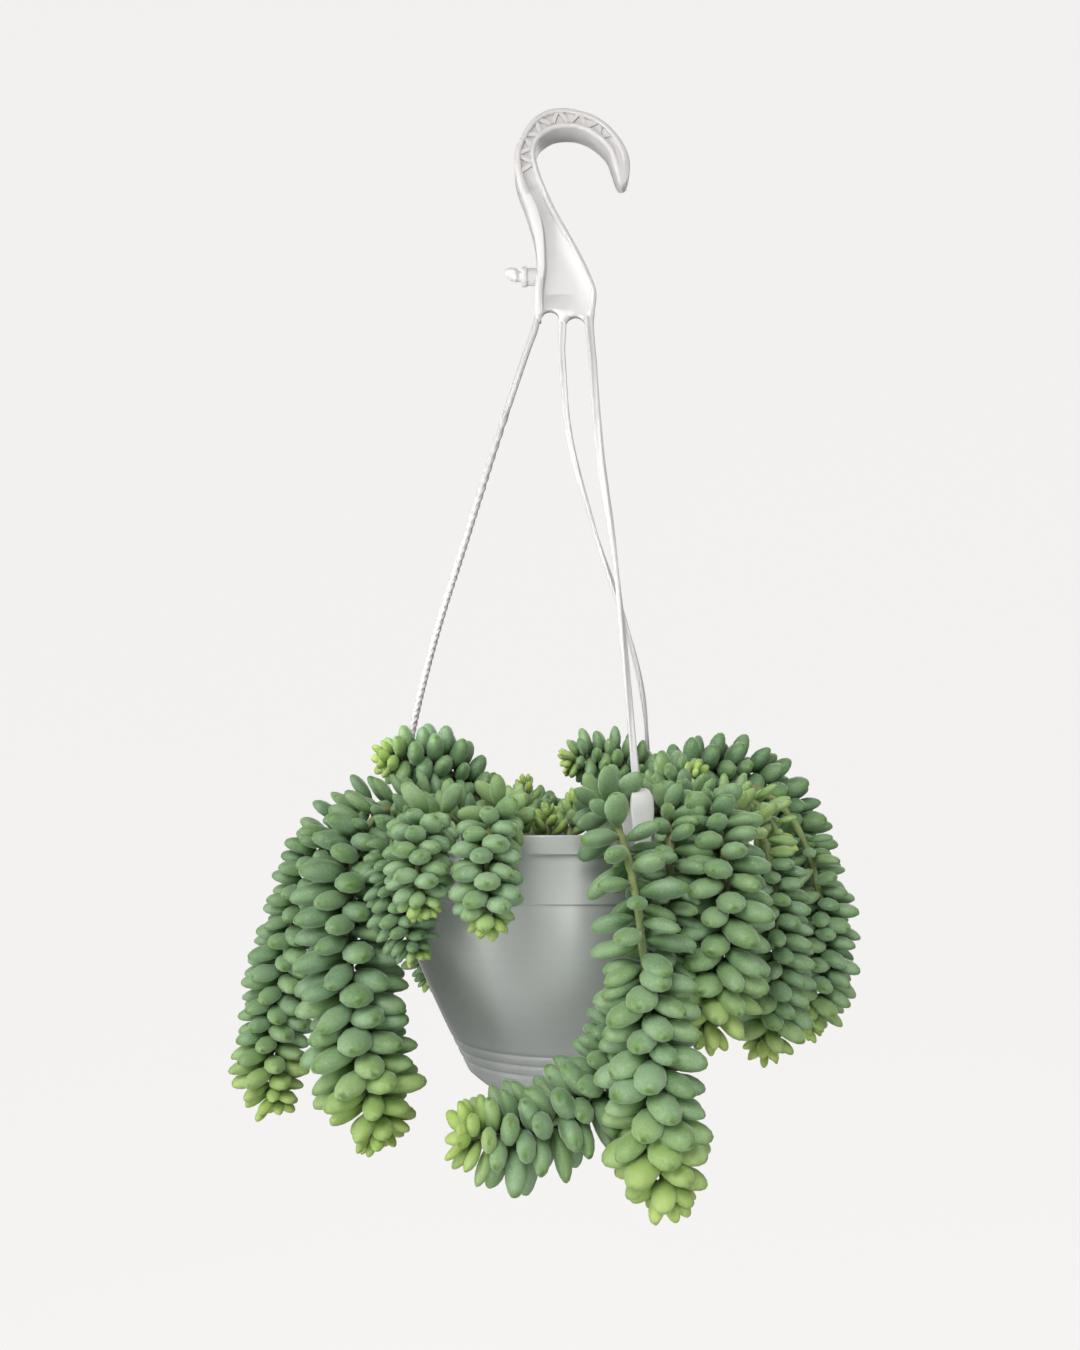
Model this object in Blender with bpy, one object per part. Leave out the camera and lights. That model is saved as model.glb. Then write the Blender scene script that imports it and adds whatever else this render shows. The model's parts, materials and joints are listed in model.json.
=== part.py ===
"""Burro's tail plant in a hanging pot.

Metres, +Z up. The origin is the point under the hook's arch that rests on whatever the pot hangs from.
Routes and outlines are written in millimetres: the pot, soil, arms and shoots from the centre of the
pot's rim, and the hook from the origin.
"""
import math

import bmesh
import bpy
from mathutils import Vector

MM = 0.001
GAP = 0.3 * MM                       # clearance between pieces that touch
WELD = 1e-6                          # corners closer than this are one

# where the pot hangs, under the hook
RIM_DROP = 350 * MM
POT_AXIS_X = -4 * MM
RIM_CENTRE = Vector((POT_AXIS_X, 0, -RIM_DROP))

# pot
POT_SEGMENTS = 40
LIP_RADIUS = 76 * MM
LIP_DEPTH = 7 * MM
BAND_TOP_RADIUS = 73.8 * MM
BAND_FOOT_RADIUS = 73.0 * MM
BAND_FOOT = 24.5 * MM                # depth of the step under the band
BOWL_RADIUS = 72 * MM
BOWL_NARROWING = 31.8 * MM           # how much the bowl narrows by the foot
BOWL_HEIGHT = 70.5 * MM
BOWL_CURVE = 1.21
BOWL_RINGS = (70 * MM, 56 * MM, 42 * MM)   # depths of the bowl's plain outer rings
POT_HEIGHT = 101 * MM
FOOT_RADIUS = 32.5 * MM
FOOT_ROUNDING = (3.6 * MM, 2.6 * MM)  # how far the foot's edge is cut back, outward and up
WALL = 1.8 * MM
FLOOR = 2.4 * MM
INSIDE_RINGS = (46 * MM, 66 * MM, 84 * MM, 96 * MM)   # depths of the rings inside
GROOVE_DEPTHS = (82 * MM, 86 * MM, 90 * MM)
GROOVE_CUT = 0.5 * MM
GROOVE_HALF_WIDTH = 0.9 * MM
LIP_ROUNDING = 0.8 * MM
DRAIN_RADIUS = 3.5 * MM
DRAIN_CIRCLE = 20 * MM
DRAIN_COUNT = 4

# soil
SOIL_DEPTH = 10 * MM                 # soil surface below the rim
SOIL_CLEARANCE = 0.4 * MM            # between the soil and the pot's facets
SOCKET_DEPTH = 6 * MM                # how deep a stem stands in the soil

# hanger
CLIP_ANGLES = {"left": 172, "back": 52, "front": -69.5}
CLIP_WIDTH = 10 * MM
CLIP_SHELL = 1.6 * MM                # thickness of the clip's legs
CLIP_INNER_FACE = 70.8 * MM          # radius of the slot's inner face
CLIP_OUTER_FACE = 76.4 * MM          # radius of the slot's outer face
CLIP_TOP = 15.5 * MM                 # top of the slot above the rim
CLIP_BARB = 2.0 * MM                 # how far the barb reaches in under the lip
CLIP_BARB_HEIGHT = 3 * MM
CLIP_INNER_FOOT = 5 * MM             # inner leg's reach below the rim
CLIP_NARROWING = 0.45                # share of its width that a clip loses from the rim to the barb's foot
HOOK_STATION = 6.5                   # spacing of the hook's cross-sections
ARM_STATION = 13 * MM                # spacing of an arm's cross-sections
PEG_PLACE = (-18 * MM, 0, -79.5 * MM)

# stems and leaves
STEM_RADIUS = 1.9 * MM
STEM_TIP_RADIUS = 1.3 * MM
BORE_RADIUS = 2.8 * MM
STATION = 11 * MM                    # spacing of the cross-sections along a shoot
LEAF_SIDES = 10                      # corners round a leaf mass, twice those of its bore
LEAF_RELIEF = 0.12                   # how far leaf tips and the valleys between them leave the mean radius
LEAF_START = 4.0 * MM                # a leaf mass starts where it is this thick

# Hook and plate: outer edge and inner edge, side by side, from the plate's foot to the hook's tip.
# Each row is (outer x, outer z, inner x, inner z, depth).
HOOK_ROWS = (
    (-16.2, -106, 12.2, -106, 8), (-16.5, -98, 12.8, -98, 8), (-16.5, -89, 13.4, -89, 8),
    (-15.5, -77, 9.3, -77, 8.5), (-16.0, -66, 4.3, -66, 9), (-17.5, -57, -0.3, -57, 9.5),
    (-21, -44, -6.9, -44, 10), (-25.1, -31.6, -12, -31.6, 10.5), (-26.6, -23, -15, -22.3, 11),
    (-26.4, -13.5, -16.2, -14.7, 11), (-24.4, -7, -15, -8, 11), (-19.2, 3.2, -11.2, -3.6, 11),
    (-11.8, 9.4, -6, -0.7, 11), (-2.9, 11.2, 0, 0, 11), (6.1, 9.7, 5.3, -0.6, 11),
    (15.2, 5.8, 11.3, -3.4, 11), (22.6, -1, 16.5, -7.9, 11), (28.5, -10.4, 20.3, -13.6, 11),
    (30.8, -18.6, 22.3, -20.4, 10.5), (30.8, -25.6, 23.9, -27, 10), (29.2, -31, 26.2, -31.8, 8),
)
RIB_WIDTH = 2.4                      # edge ribs of the hook and plate
WEB = 3.2                            # web between the edge ribs
PLATE_GAPS = ((-9.2, -102, 4.2), (3.6, -105.3, 4.4))   # x, z and radius of the gaps between the arms

# Arms: points from the plate to the top of each clip, and the radius at each.
ARM_ROUTES = {
    "left": ((-10.7, 0, 249, 1.6), (-15.5, 1, 233, 1.4), (-30, 3, 188, 1.2), (-45, 5, 137, 1.1),
             (-58, 7, 93, 1.1), (-68, 9, 50, 1.1), (-72.9, 10.2, 16.4, 1.2)),
    "back": ((1, 0, 249, 2.1), (1, 5, 229, 1.6), (5, 14, 191, 1.4), (18, 25, 146, 1.3),
             (31, 34, 108, 1.3), (42, 45, 66, 1.3), (45.3, 58, 16.4, 1.4)),
    "front": ((14, 0, 249, 2.05), (15, -7, 223, 1.7), (17, -23, 168, 1.5), (21, -38, 120, 1.5),
              (23.5, -52, 72, 1.6), (25, -62, 36, 1.7), (25.8, -69, 16.4, 1.8)),
}

# Shoots: where the stem stands in the soil as (x, y), and then points from there to the tip as
# (x, y, z, radius of the leaf mass), with radius 0 where the stem is bare.
SHOOTS = {
    "tail_left_front": (
        (-34, -12), (-38, -16, 4, 0), (-57, -27, 13, 5), (-75, -36, 8, 10), (-83, -43, -10, 16),
        (-83, -46, -38, 18), (-79, -48, -66, 18), (-73, -50, -90, 17), (-68, -51, -106, 11)),
    "tail_left_rear": (
        (-50, -2), (-54, -4, 4, 0), (-73, -8, 13, 4), (-93, -6, 7, 6), (-108, -3, -12, 12),
        (-116, 0, -38, 14), (-122, 1, -68, 15), (-123.5, 0, -94, 14), (-121, 0, -110, 9)),
    "head_left": (
        (-30, 6), (-34, 3, 8, 4), (-44, -5, 22, 9), (-58, -11, 32, 12.5), (-76, -18, 32, 11.5)),
    "tail_short_left": (
        (-36, -32), (-41, -46, 2, 4), (-47, -64, 7.5, 5), (-51, -79, 2, 7), (-52, -86, -12, 8.5),
        (-50, -86, -25, 6)),
    "tail_short_middle": (
        (-16, -34), (-19, -48, 3, 5), (-24, -68, 9.5, 6.5), (-27, -85, 3, 9), (-28, -91, -13, 10.5),
        (-27, -91, -30, 7)),
    "tail_dark": (
        (-46, -22), (-52, -34, 2, 0), (-61, -50, 5, 3), (-66, -59, -8, 6), (-62, -62, -26, 7.5),
        (-55, -64, -42, 6)),
    "tail_front": (
        (12, -32), (13, -44, 4, 0), (15, -66, 9.5, 0), (17, -85, 3, 0), (21, -97, -16, 0),
        (23, -101, -36, 5), (24, -102, -52, 12.5), (25, -102, -72, 13), (26, -102, -92, 13),
        (29, -101, -109, 9)),
    "tail_curled": (
        (30, -30), (33, -44, 4, 0), (35.5, -66, 9, 0), (35.5, -82, -4, 0), (32, -84, -34, 0),
        (23, -81, -62, 5), (10, -83, -82, 8), (-5, -87, -92, 11), (-19, -90, -96, 11),
        (-34, -94, -94, 8)),
    "tail_right_front": (
        (34, -14), (38, -26, 5, 5), (46, -52, 12.5, 8.5), (52, -73, 7, 11.5), (54, -83, -10, 15),
        (53, -83, -30, 15), (50, -80, -52, 14), (46, -77, -66, 9)),
    "tail_right": (
        (48, -10), (54, -16, 3, 4), (65, -31, 9.5, 6), (75, -44, 3, 9), (79, -49, -14, 12),
        (79, -50, -38, 12.5), (77, -48, -62, 12), (74, -46, -79, 8)),
    "tail_far_right": (
        (54, 8), (58, 7, 6, 0), (74, 4, 21, 0), (90, 0, 18, 0), (102, -7, 2, 7),
        (108, -11, -24, 12), (107, -13, -52, 12.5), (97, -14, -77, 9)),
    "shoot_top_back": (
        (47, 36), (48, 36, 6, 4), (42, 37, 26, 8.5), (24, 34, 36, 11), (4, 30, 35, 8)),
    "arch_right": (
        (34, 16), (38, 17, 8, 5), (56, 20, 26, 11), (77, 21, 30.5, 12), (98, 20, 19, 12),
        (110, 22, -5, 12), (112, 24, -32, 12), (108, 24, -56, 8)),
    "rosette_right": (
        (30, 0), (34, 0, 6, 4), (44, -3, 20, 7.5), (57, -14, 25, 7)),
    "branch_right": (
        (60, -10), (62, -11, 3, 0), (72, -16, 15, 0), (84, -22, 10, 0), (89, -26, -6, 0)),
    "young_front": ((-7, -48), (-7, -50, -4, 4), (-7, -55, 9, 5)),
    "young_middle": ((-24, -10), (-24, -11, -2, 5), (-22, -14, 14, 5.5)),
    "young_left": ((-60, 8), (-60, 9, -3, 4), (-61, 12, 8, 4.5)),
    "young_centre": ((2, -8), (3, -9, 0, 5), (6, -11, 16, 6)),
    "young_back": ((-14, 24), (-15, 24, 4, 5), (-17, 23, 24, 5.5)),
    "young_side": ((-28, -21), (-28, -22, -3, 4), (-30, -24, 8, 5)),
    "young_rear": ((-34, 20), (-34, 20, 0, 5), (-36, 18, 18, 5.5)),
    "tail_back_left_short": (
        (-48, 26), (-55, 29, 3, 4), (-71, 36, 12, 7), (-84, 42, 2, 10), (-89, 44, -18, 10.5),
        (-88, 44, -42, 7)),
    "tail_back_left": (
        (-32, 42), (-38, 48, 4, 5), (-51, 61, 15, 10), (-62, 74, 7, 13), (-67, 80, -14, 14),
        (-67, 81, -44, 14), (-66, 80, -74, 9)),
    "tail_back": (
        (-8, 46), (-9, 54, 4, 5), (-10, 74, 15, 10), (-10, 91, 5, 14), (-9, 97, -18, 15),
        (-9, 98, -50, 15), (-10, 96, -78, 14), (-11, 94, -96, 9)),
    "tail_back_right": (
        (20, 48), (22, 55, 4, 4), (25, 73, 13, 8), (29, 88, 3, 11), (31, 94, -18, 12),
        (31, 95, -44, 11), (29, 93, -62, 7)),
}

COLOURS = {
    "pot": (0.42, 0.45, 0.44, 1), "hanger": (0.82, 0.81, 0.80, 1), "soil": (0.055, 0.038, 0.026, 1),
    "stem": (0.36, 0.34, 0.18, 1), "leaves": (0.19, 0.33, 0.17, 1), "young_leaves": (0.36, 0.48, 0.12, 1),
}
ROUGHNESS = {"pot": 0.42, "hanger": 0.38, "soil": 0.95, "stem": 0.6, "leaves": 0.55, "young_leaves": 0.55}


def clear_scene():
    for old in list(bpy.data.objects):
        bpy.data.objects.remove(old, do_unlink=True)


def make_material(name, look):
    material = bpy.data.materials.new(name)
    material.use_nodes = True
    shader = material.node_tree.nodes["Principled BSDF"]
    shader.inputs["Base Color"].default_value = COLOURS[look]
    shader.inputs["Roughness"].default_value = ROUGHNESS[look]
    shader.inputs["Metallic"].default_value = 0.0
    return material


def add_object(name, data, look, place=RIM_CENTRE):
    """Put mesh or curve data into the scene as one named piece with its own material."""
    piece = bpy.data.objects.new(name, data)
    piece.location = place
    data.materials.append(make_material(name, look))
    bpy.context.scene.collection.objects.link(piece)
    return piece


def mesh_from(bm, name, smooth_below=40):
    """Turn a bmesh into a mesh with its faces outward and round faces shaded smooth."""
    bmesh.ops.recalc_face_normals(bm, faces=bm.faces)
    mesh = bpy.data.meshes.new(name)
    bm.to_mesh(mesh)
    bm.free()
    mesh.shade_smooth()
    mesh.set_sharp_from_angle(angle=math.radians(smooth_below))
    return mesh


def add_cutter(name, mesh, place):
    cutter = bpy.data.objects.new(name, mesh)
    cutter.location = place
    cutter.hide_render = True
    cutter.display_type = "WIRE"
    bpy.context.scene.collection.objects.link(cutter)
    return cutter


def combine(piece, other, operation):
    modifier = piece.modifiers.new(operation.title() + "_" + other.name, "BOOLEAN")
    modifier.operation = operation
    modifier.object = other
    modifier.solver = "EXACT"


def turned(name, profile, segments):
    """Spin a closed profile of (radius, z), which starts and ends on the axis, into a solid."""
    bm = bmesh.new()
    corners = [bm.verts.new((radius, 0, z)) for radius, z in profile]
    edges = [bm.edges.new(pair) for pair in zip(corners, corners[1:])]
    bmesh.ops.spin(bm, geom=corners + edges, cent=(0, 0, 0), axis=(0, 0, 1), angle=2 * math.pi,
                   steps=segments, use_merge=False)
    bmesh.ops.remove_doubles(bm, verts=bm.verts, dist=WELD)
    return mesh_from(bm, name)


def smooth_route(points, step):
    """Read a Catmull-Rom curve through the points at even steps; each point may carry extra numbers."""
    rows = [tuple(p) for p in points]
    rows = [tuple(2 * a - b for a, b in zip(rows[0], rows[1]))] + rows
    rows.append(tuple(2 * a - b for a, b in zip(rows[-1], rows[-2])))
    fine = []
    pieces = 16
    for before, start, end, after in zip(rows, rows[1:], rows[2:], rows[3:]):
        for i in range(pieces):
            t = i / pieces
            fine.append(tuple(
                0.5 * (2 * b + (c - a) * t + (2 * a - 5 * b + 4 * c - d) * t * t
                       + (3 * b - a - 3 * c + d) * t ** 3)
                for a, b, c, d in zip(before, start, end, after)))
    fine.append(rows[-2])
    lengths = [0.0]
    for a, b in zip(fine, fine[1:]):
        lengths.append(lengths[-1] + (Vector(b[:3]) - Vector(a[:3])).length)
    count = max(3, round(lengths[-1] / step))
    route = []
    k = 0
    for i in range(count + 1):
        wanted = lengths[-1] * i / count
        while k < len(fine) - 2 and lengths[k + 1] < wanted:
            k += 1
        share = (wanted - lengths[k]) / (lengths[k + 1] - lengths[k])
        route.append(tuple(a + (b - a) * share for a, b in zip(fine[k], fine[k + 1])))
    return route


def tube_curve(name, route, radii, resolution):
    """A tube with filled ends along a polyline, as a curve."""
    curve = bpy.data.curves.new(name, "CURVE")
    curve.dimensions = "3D"
    curve.bevel_depth = 1.0
    curve.bevel_resolution = resolution
    curve.use_fill_caps = True
    spline = curve.splines.new("POLY")
    spline.points.add(len(route) - 1)
    for point, place, radius in zip(spline.points, route, radii):
        point.co = (*place, 1)
        point.radius = radius
    return curve


def mesh_of_curve(curve):
    """The curve's closed surface as a mesh of triangles."""
    carrier = bpy.data.objects.new(curve.name, curve)
    mesh = bpy.data.meshes.new_from_object(carrier)
    bpy.data.objects.remove(carrier)
    bm = bmesh.new()
    bm.from_mesh(mesh)
    bmesh.ops.remove_doubles(bm, verts=bm.verts, dist=WELD)
    bmesh.ops.triangulate(bm, faces=bm.faces)
    return mesh_from(bm, curve.name)


def cross_sections(route):
    """Turn-free frames along a route: a list of (centre, side, up) with side and up across the route."""
    centres = [Vector(p[:3]) for p in route]
    frames = []
    side = None
    for i, centre in enumerate(centres):
        ahead = centres[min(i + 1, len(centres) - 1)] - centres[max(i - 1, 0)]
        ahead.normalize()
        if side is None:
            side = ahead.orthogonal().normalized()
        side = (side - ahead * side.dot(ahead)).normalized()
        frames.append((centre, side, ahead.cross(side)))
    return frames


def bowl_radius(depth):
    """Outer radius of the bowl below the step, at a depth under the rim."""
    share = (depth - BAND_FOOT) / BOWL_HEIGHT
    return BOWL_RADIUS - BOWL_NARROWING * share ** BOWL_CURVE


def inner_radius(depth):
    """Radius of the bowl's inside, at a depth under the rim."""
    return bowl_radius(max(depth, BAND_FOOT)) - WALL


def make_pot():
    out, up = FOOT_ROUNDING
    foot = BAND_FOOT + BOWL_HEIGHT
    profile = [(0, -POT_HEIGHT), (FOOT_RADIUS, -POT_HEIGHT), (FOOT_RADIUS + out, -POT_HEIGHT + up),
               (bowl_radius(foot), -foot)]
    for depth in reversed(GROOVE_DEPTHS):
        low, high = depth + GROOVE_HALF_WIDTH, depth - GROOVE_HALF_WIDTH
        profile += [(bowl_radius(low), -low), (bowl_radius(depth) - GROOVE_CUT, -depth),
                    (bowl_radius(high), -high)]
    profile += [(bowl_radius(depth), -depth) for depth in (*BOWL_RINGS, BAND_FOOT)]
    profile += [
        (BAND_FOOT_RADIUS, -BAND_FOOT), (BAND_TOP_RADIUS, -LIP_DEPTH), (LIP_RADIUS, -LIP_DEPTH),
        (LIP_RADIUS, -LIP_ROUNDING), (LIP_RADIUS - LIP_ROUNDING, 0), (LIP_RADIUS - 3 * LIP_ROUNDING, 0),
        (BAND_TOP_RADIUS - WALL, -1.5 * LIP_ROUNDING)]
    profile += [(inner_radius(depth), -depth) for depth in (BAND_FOOT, *INSIDE_RINGS)]
    profile += [(FOOT_RADIUS - 2 * MM, -POT_HEIGHT + FLOOR), (0, -POT_HEIGHT + FLOOR)]
    pot = add_object("pot", turned("pot", profile, POT_SEGMENTS), "pot")

    bm = bmesh.new()
    for i in range(DRAIN_COUNT):
        turn = 2 * math.pi * (i + 0.5) / DRAIN_COUNT
        made = bmesh.ops.create_cone(bm, cap_ends=True, segments=12, radius1=DRAIN_RADIUS,
                                     radius2=DRAIN_RADIUS, depth=4 * FLOOR)
        bmesh.ops.translate(bm, verts=made["verts"], vec=(
            DRAIN_CIRCLE * math.cos(turn), DRAIN_CIRCLE * math.sin(turn), -POT_HEIGHT))
    combine(pot, add_cutter("drain_cutter", mesh_from(bm, "drain_cutter"), RIM_CENTRE), "DIFFERENCE")


def make_soil():
    """Soil that fills the pot, with a socket for each stem."""
    clear = SOIL_CLEARANCE
    profile = [(0, -POT_HEIGHT + FLOOR + GAP), (FOOT_RADIUS - 4 * MM, -POT_HEIGHT + FLOOR + GAP)]
    profile += [(inner_radius(depth) - clear, clear - depth)
                for depth in (*reversed(INSIDE_RINGS), BAND_FOOT)]
    profile += [(inner_radius(BAND_FOOT) - clear, -SOIL_DEPTH), (0, -SOIL_DEPTH)]
    soil = add_object("soil", turned("soil", profile, POT_SEGMENTS), "soil")

    bm = bmesh.new()
    for points in SHOOTS.values():
        x, y = (v * MM for v in points[0])
        made = bmesh.ops.create_cone(bm, cap_ends=True, segments=8, radius1=STEM_RADIUS + 2 * GAP,
                                     radius2=STEM_RADIUS + 2 * GAP, depth=2 * SOCKET_DEPTH)
        bmesh.ops.translate(bm, verts=made["verts"], vec=(x, y, -SOIL_DEPTH))
    combine(soil, add_cutter("socket_cutter", mesh_from(bm, "socket_cutter"), RIM_CENTRE), "DIFFERENCE")


def hook_section(outer, inner, depth):
    """Corners of the hook's I-shaped section: a rib along each edge and a web between them."""
    across = inner - outer
    width = across.length
    across.normalize()
    rib = min(RIB_WIDTH, 0.4 * width)
    edge = depth / 2
    web = WEB / 2 if width > 2.5 * RIB_WIDTH else edge - 0.3
    corners = ((0, -edge), (rib, -edge), (rib, -web), (width - rib, -web), (width - rib, -edge),
               (width, -edge), (width, edge), (width - rib, edge), (width - rib, web), (rib, web),
               (rib, edge), (0, edge))
    return [(outer + across * along + Vector((0, y, 0))) * MM for along, y in corners]


def hook_mesh():
    """The hook and its plate, from the plate's foot round the arch to the tip."""
    bm = bmesh.new()
    rings = []
    for outer_x, _, outer_z, inner_x, inner_z, depth in smooth_route(
            [(a, 0, b, c, d, e) for a, b, c, d, e in HOOK_ROWS], HOOK_STATION):
        corners = hook_section(Vector((outer_x, 0, outer_z)), Vector((inner_x, 0, inner_z)), depth)
        rings.append([bm.verts.new(corner) for corner in corners])
    for ring, nxt in zip(rings, rings[1:]):
        for i in range(len(ring)):
            j = (i + 1) % len(ring)
            bm.faces.new((ring[i], ring[j], nxt[j], nxt[i]))
    for ring in (rings[0], rings[-1]):
        for corners in ((0, 1, 2, 9, 10, 11), (2, 3, 8, 9), (3, 4, 5, 6, 7, 8)):
            bm.faces.new([ring[i] for i in corners])
    return mesh_from(bm, "hanger", 30)


def plate_gap_mesh(x, z, radius):
    """Cutter for the rounded gap between two arms."""
    bm = bmesh.new()
    made = bmesh.ops.create_cone(bm, cap_ends=True, segments=16, radius1=radius, radius2=radius, depth=20)
    bmesh.ops.rotate(bm, verts=made["verts"], cent=(0, 0, 0),
                     matrix=Vector((0, 0, 1)).rotation_difference(Vector((0, 1, 0))).to_matrix())
    for vert in bm.verts:
        if vert.co.z < -0.01 * radius:
            vert.co.z -= 12
    bmesh.ops.translate(bm, verts=bm.verts, vec=(x, 0, z))
    bmesh.ops.scale(bm, verts=bm.verts, vec=(MM, MM, MM))
    return mesh_from(bm, "plate_gap")


def clip_section():
    """Section of a clip as (radius, z): the slot's side and the shell's side, point by point."""
    slot_in, slot_out = CLIP_INNER_FACE, CLIP_OUTER_FACE
    middle, half = (slot_in + slot_out) / 2, (slot_out - slot_in) / 2
    spring = CLIP_TOP - half
    seat = -LIP_DEPTH - GAP
    foot = seat - CLIP_BARB_HEIGHT
    turns = [math.pi * i / 6 for i in range(7)]
    sides = []
    for radius in (half, half + CLIP_SHELL):
        sides.append([(middle - radius, -CLIP_INNER_FOOT)] + [
            (middle - radius * math.cos(turn), spring + radius * math.sin(turn)) for turn in turns])
    barb, shell = slot_out - CLIP_BARB, slot_out + CLIP_SHELL
    sides[0] += [(slot_out, seat), (barb, seat), (barb, seat - 0.6 * MM), (slot_out, foot)]
    sides[1] += [(shell, seat), (shell, seat - 0.3 * MM), (shell, seat - 0.9 * MM),
                 (slot_out + 0.5 * MM, foot)]
    return sides


def clip_mesh(angle):
    """One clip, narrowing towards the barb, at its angle round the pot's axis."""
    outward = Vector((math.cos(angle), math.sin(angle), 0))
    along = Vector((-outward.y, outward.x, 0))
    bm = bmesh.new()
    rows = []
    for side in clip_section():
        for share in (-0.5, 0.5):
            row = []
            for radius, z in side:
                narrowing = 1 + CLIP_NARROWING * min(z, 0) / (LIP_DEPTH + CLIP_BARB_HEIGHT)
                row.append(bm.verts.new(outward * radius + along * share * CLIP_WIDTH * narrowing
                                        + Vector((0, 0, z))))
            rows.append(row)
    slot_a, slot_b, shell_a, shell_b = rows
    for i in range(len(slot_a) - 1):
        for one, other in ((slot_a, slot_b), (slot_b, shell_b), (shell_b, shell_a), (shell_a, slot_a)):
            bm.faces.new((one[i], one[i + 1], other[i + 1], other[i]))
    for i in (0, -1):
        bm.faces.new([row[i] for row in (slot_a, slot_b, shell_b, shell_a)])
    bmesh.ops.triangulate(bm, faces=bm.faces)
    return mesh_from(bm, "clip")


def peg_mesh():
    """Side peg: a short cylinder with a collar and a pointed knob, along -X from the plate."""
    profile = ((0, -10.5), (3.4, -10.5), (3.4, 2.8), (4.4, 2.8), (4.4, 5.0), (2.0, 5.0), (2.6, 7.0),
               (2.9, 9.5), (1.8, 12.0), (0, 13.4))
    mesh = turned("peg", [(r * MM, z * MM) for r, z in profile], 12)
    outward = Vector((0, 0, 1)).rotation_difference(Vector((-1, 0, 0))).to_matrix().to_4x4()
    mesh.transform(outward)
    return mesh


def make_hanger():
    """Hook, plate, arms and clips, moulded in one."""
    hanger = add_object("hanger", hook_mesh(), "hanger", Vector((0, 0, 0)))
    for x, z, radius in PLATE_GAPS:
        gap = add_cutter("plate_gap_cutter", plate_gap_mesh(x, z, radius), (0, 0, 0))
        combine(hanger, gap, "DIFFERENCE")
    peg = add_cutter("peg_tool", peg_mesh(), PEG_PLACE)
    combine(hanger, peg, "UNION")
    for side, points in ARM_ROUTES.items():
        route = smooth_route([tuple(v * MM for v in p) for p in points], ARM_STATION)
        curve = tube_curve("arm", [p[:3] for p in route], [p[3] for p in route], 2)
        arm = add_cutter("arm_tool_" + side, mesh_of_curve(curve), RIM_CENTRE)
        combine(hanger, arm, "UNION")
        clip = add_cutter("clip_tool_" + side, clip_mesh(math.radians(CLIP_ANGLES[side])), RIM_CENTRE)
        combine(hanger, clip, "UNION")


def make_stem(name, route):
    """A thin tube along the whole route, narrowing to the tip."""
    last = len(route) - 1
    radii = [STEM_RADIUS + (STEM_TIP_RADIUS - STEM_RADIUS) * i / last for i in range(last + 1)]
    curve = tube_curve(name, [p[:3] for p in route], radii, 1)
    add_object(name, curve, "stem")


def make_leaf_mass(name, route, look):
    """A knobbly closed sleeve round the stem, bored for it and closed over its tip."""
    frames = cross_sections(route)
    thickness = [p[3] for p in route]
    first = next(i for i, t in enumerate(thickness) if t >= LEAF_START)
    bm = bmesh.new()
    bore_sides = LEAF_SIDES // 2

    def ring(frame, radius, sides, relief, odd, along=0.0):
        centre, side, up = frame
        ahead = side.cross(up)
        verts = []
        for j in range(sides):
            turn = 2 * math.pi * j / sides
            lift = 1 + relief * (1 if (j + odd) % 2 else -1)
            place = centre + ahead * along + (side * math.cos(turn) + up * math.sin(turn)) * radius * lift
            verts.append(bm.verts.new(place))
        return verts

    leafy = range(first, len(route))
    outer = [ring(frames[i], thickness[i], LEAF_SIDES, LEAF_RELIEF, i % 2) for i in leafy]
    tip = thickness[-1]
    outer.append(ring(frames[-1], tip * 0.62, LEAF_SIDES, LEAF_RELIEF, len(route) % 2, tip * 0.55))
    pole = bm.verts.new(frames[-1][0] + frames[-1][1].cross(frames[-1][2]) * tip * 0.85)
    inner = [ring(frames[i], BORE_RADIUS, bore_sides, 0, 0) for i in leafy]
    inner.append(ring(frames[-1], BORE_RADIUS, bore_sides, 0, 0, 2 * GAP))

    for a, b in zip(outer, outer[1:]):
        for j in range(LEAF_SIDES):
            k = (j + 1) % LEAF_SIDES
            bm.faces.new((a[j], a[k], b[k], b[j]))
    for j in range(LEAF_SIDES):
        bm.faces.new((outer[-1][j], outer[-1][(j + 1) % LEAF_SIDES], pole))
    for a, b in zip(inner, inner[1:]):
        for j in range(bore_sides):
            k = (j + 1) % bore_sides
            bm.faces.new((a[j], b[j], b[k], a[k]))
    bm.faces.new(inner[-1])
    for j in range(bore_sides):
        k = (j + 1) % bore_sides
        mouth = outer[0]
        bm.faces.new((inner[0][j], mouth[2 * j], mouth[2 * j + 1]))
        bm.faces.new((inner[0][j], mouth[2 * j + 1], inner[0][k]))
        bm.faces.new((inner[0][k], mouth[2 * j + 1], mouth[(2 * j + 2) % LEAF_SIDES]))
    bmesh.ops.triangulate(bm, faces=bm.faces)
    add_object(name, mesh_from(bm, name, 180), look)


def make_shoots():
    for name, points in SHOOTS.items():
        rows = [tuple(v * MM for v in p) for p in points]
        x, y = rows[0]
        rows[0] = (x, y, -SOIL_DEPTH + STEM_RADIUS, 0)
        route = [(x, y, -SOIL_DEPTH - SOCKET_DEPTH + GAP, 0)] + smooth_route(rows, STATION)
        make_stem(name + "_stem", route)
        if any(p[3] >= LEAF_START for p in route):
            look = "young_leaves" if name.startswith("young") else "leaves"
            make_leaf_mass(name + "_leaves", route, look)


def main():
    clear_scene()
    make_pot()
    make_soil()
    make_hanger()
    make_shoots()


main()
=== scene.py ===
"""Looks for the burro's tail plant in its hanging pot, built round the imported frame.

Metres, +Z up. The origin is under the hook's arch. Sizes are written in millimetres and turned into
metres with MM. Routes of the hanger's arms are given from the centre of the pot's rim.
"""

import json
import math
from types import SimpleNamespace

import bmesh
import bpy
from mathutils import Matrix, Vector, noise

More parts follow.
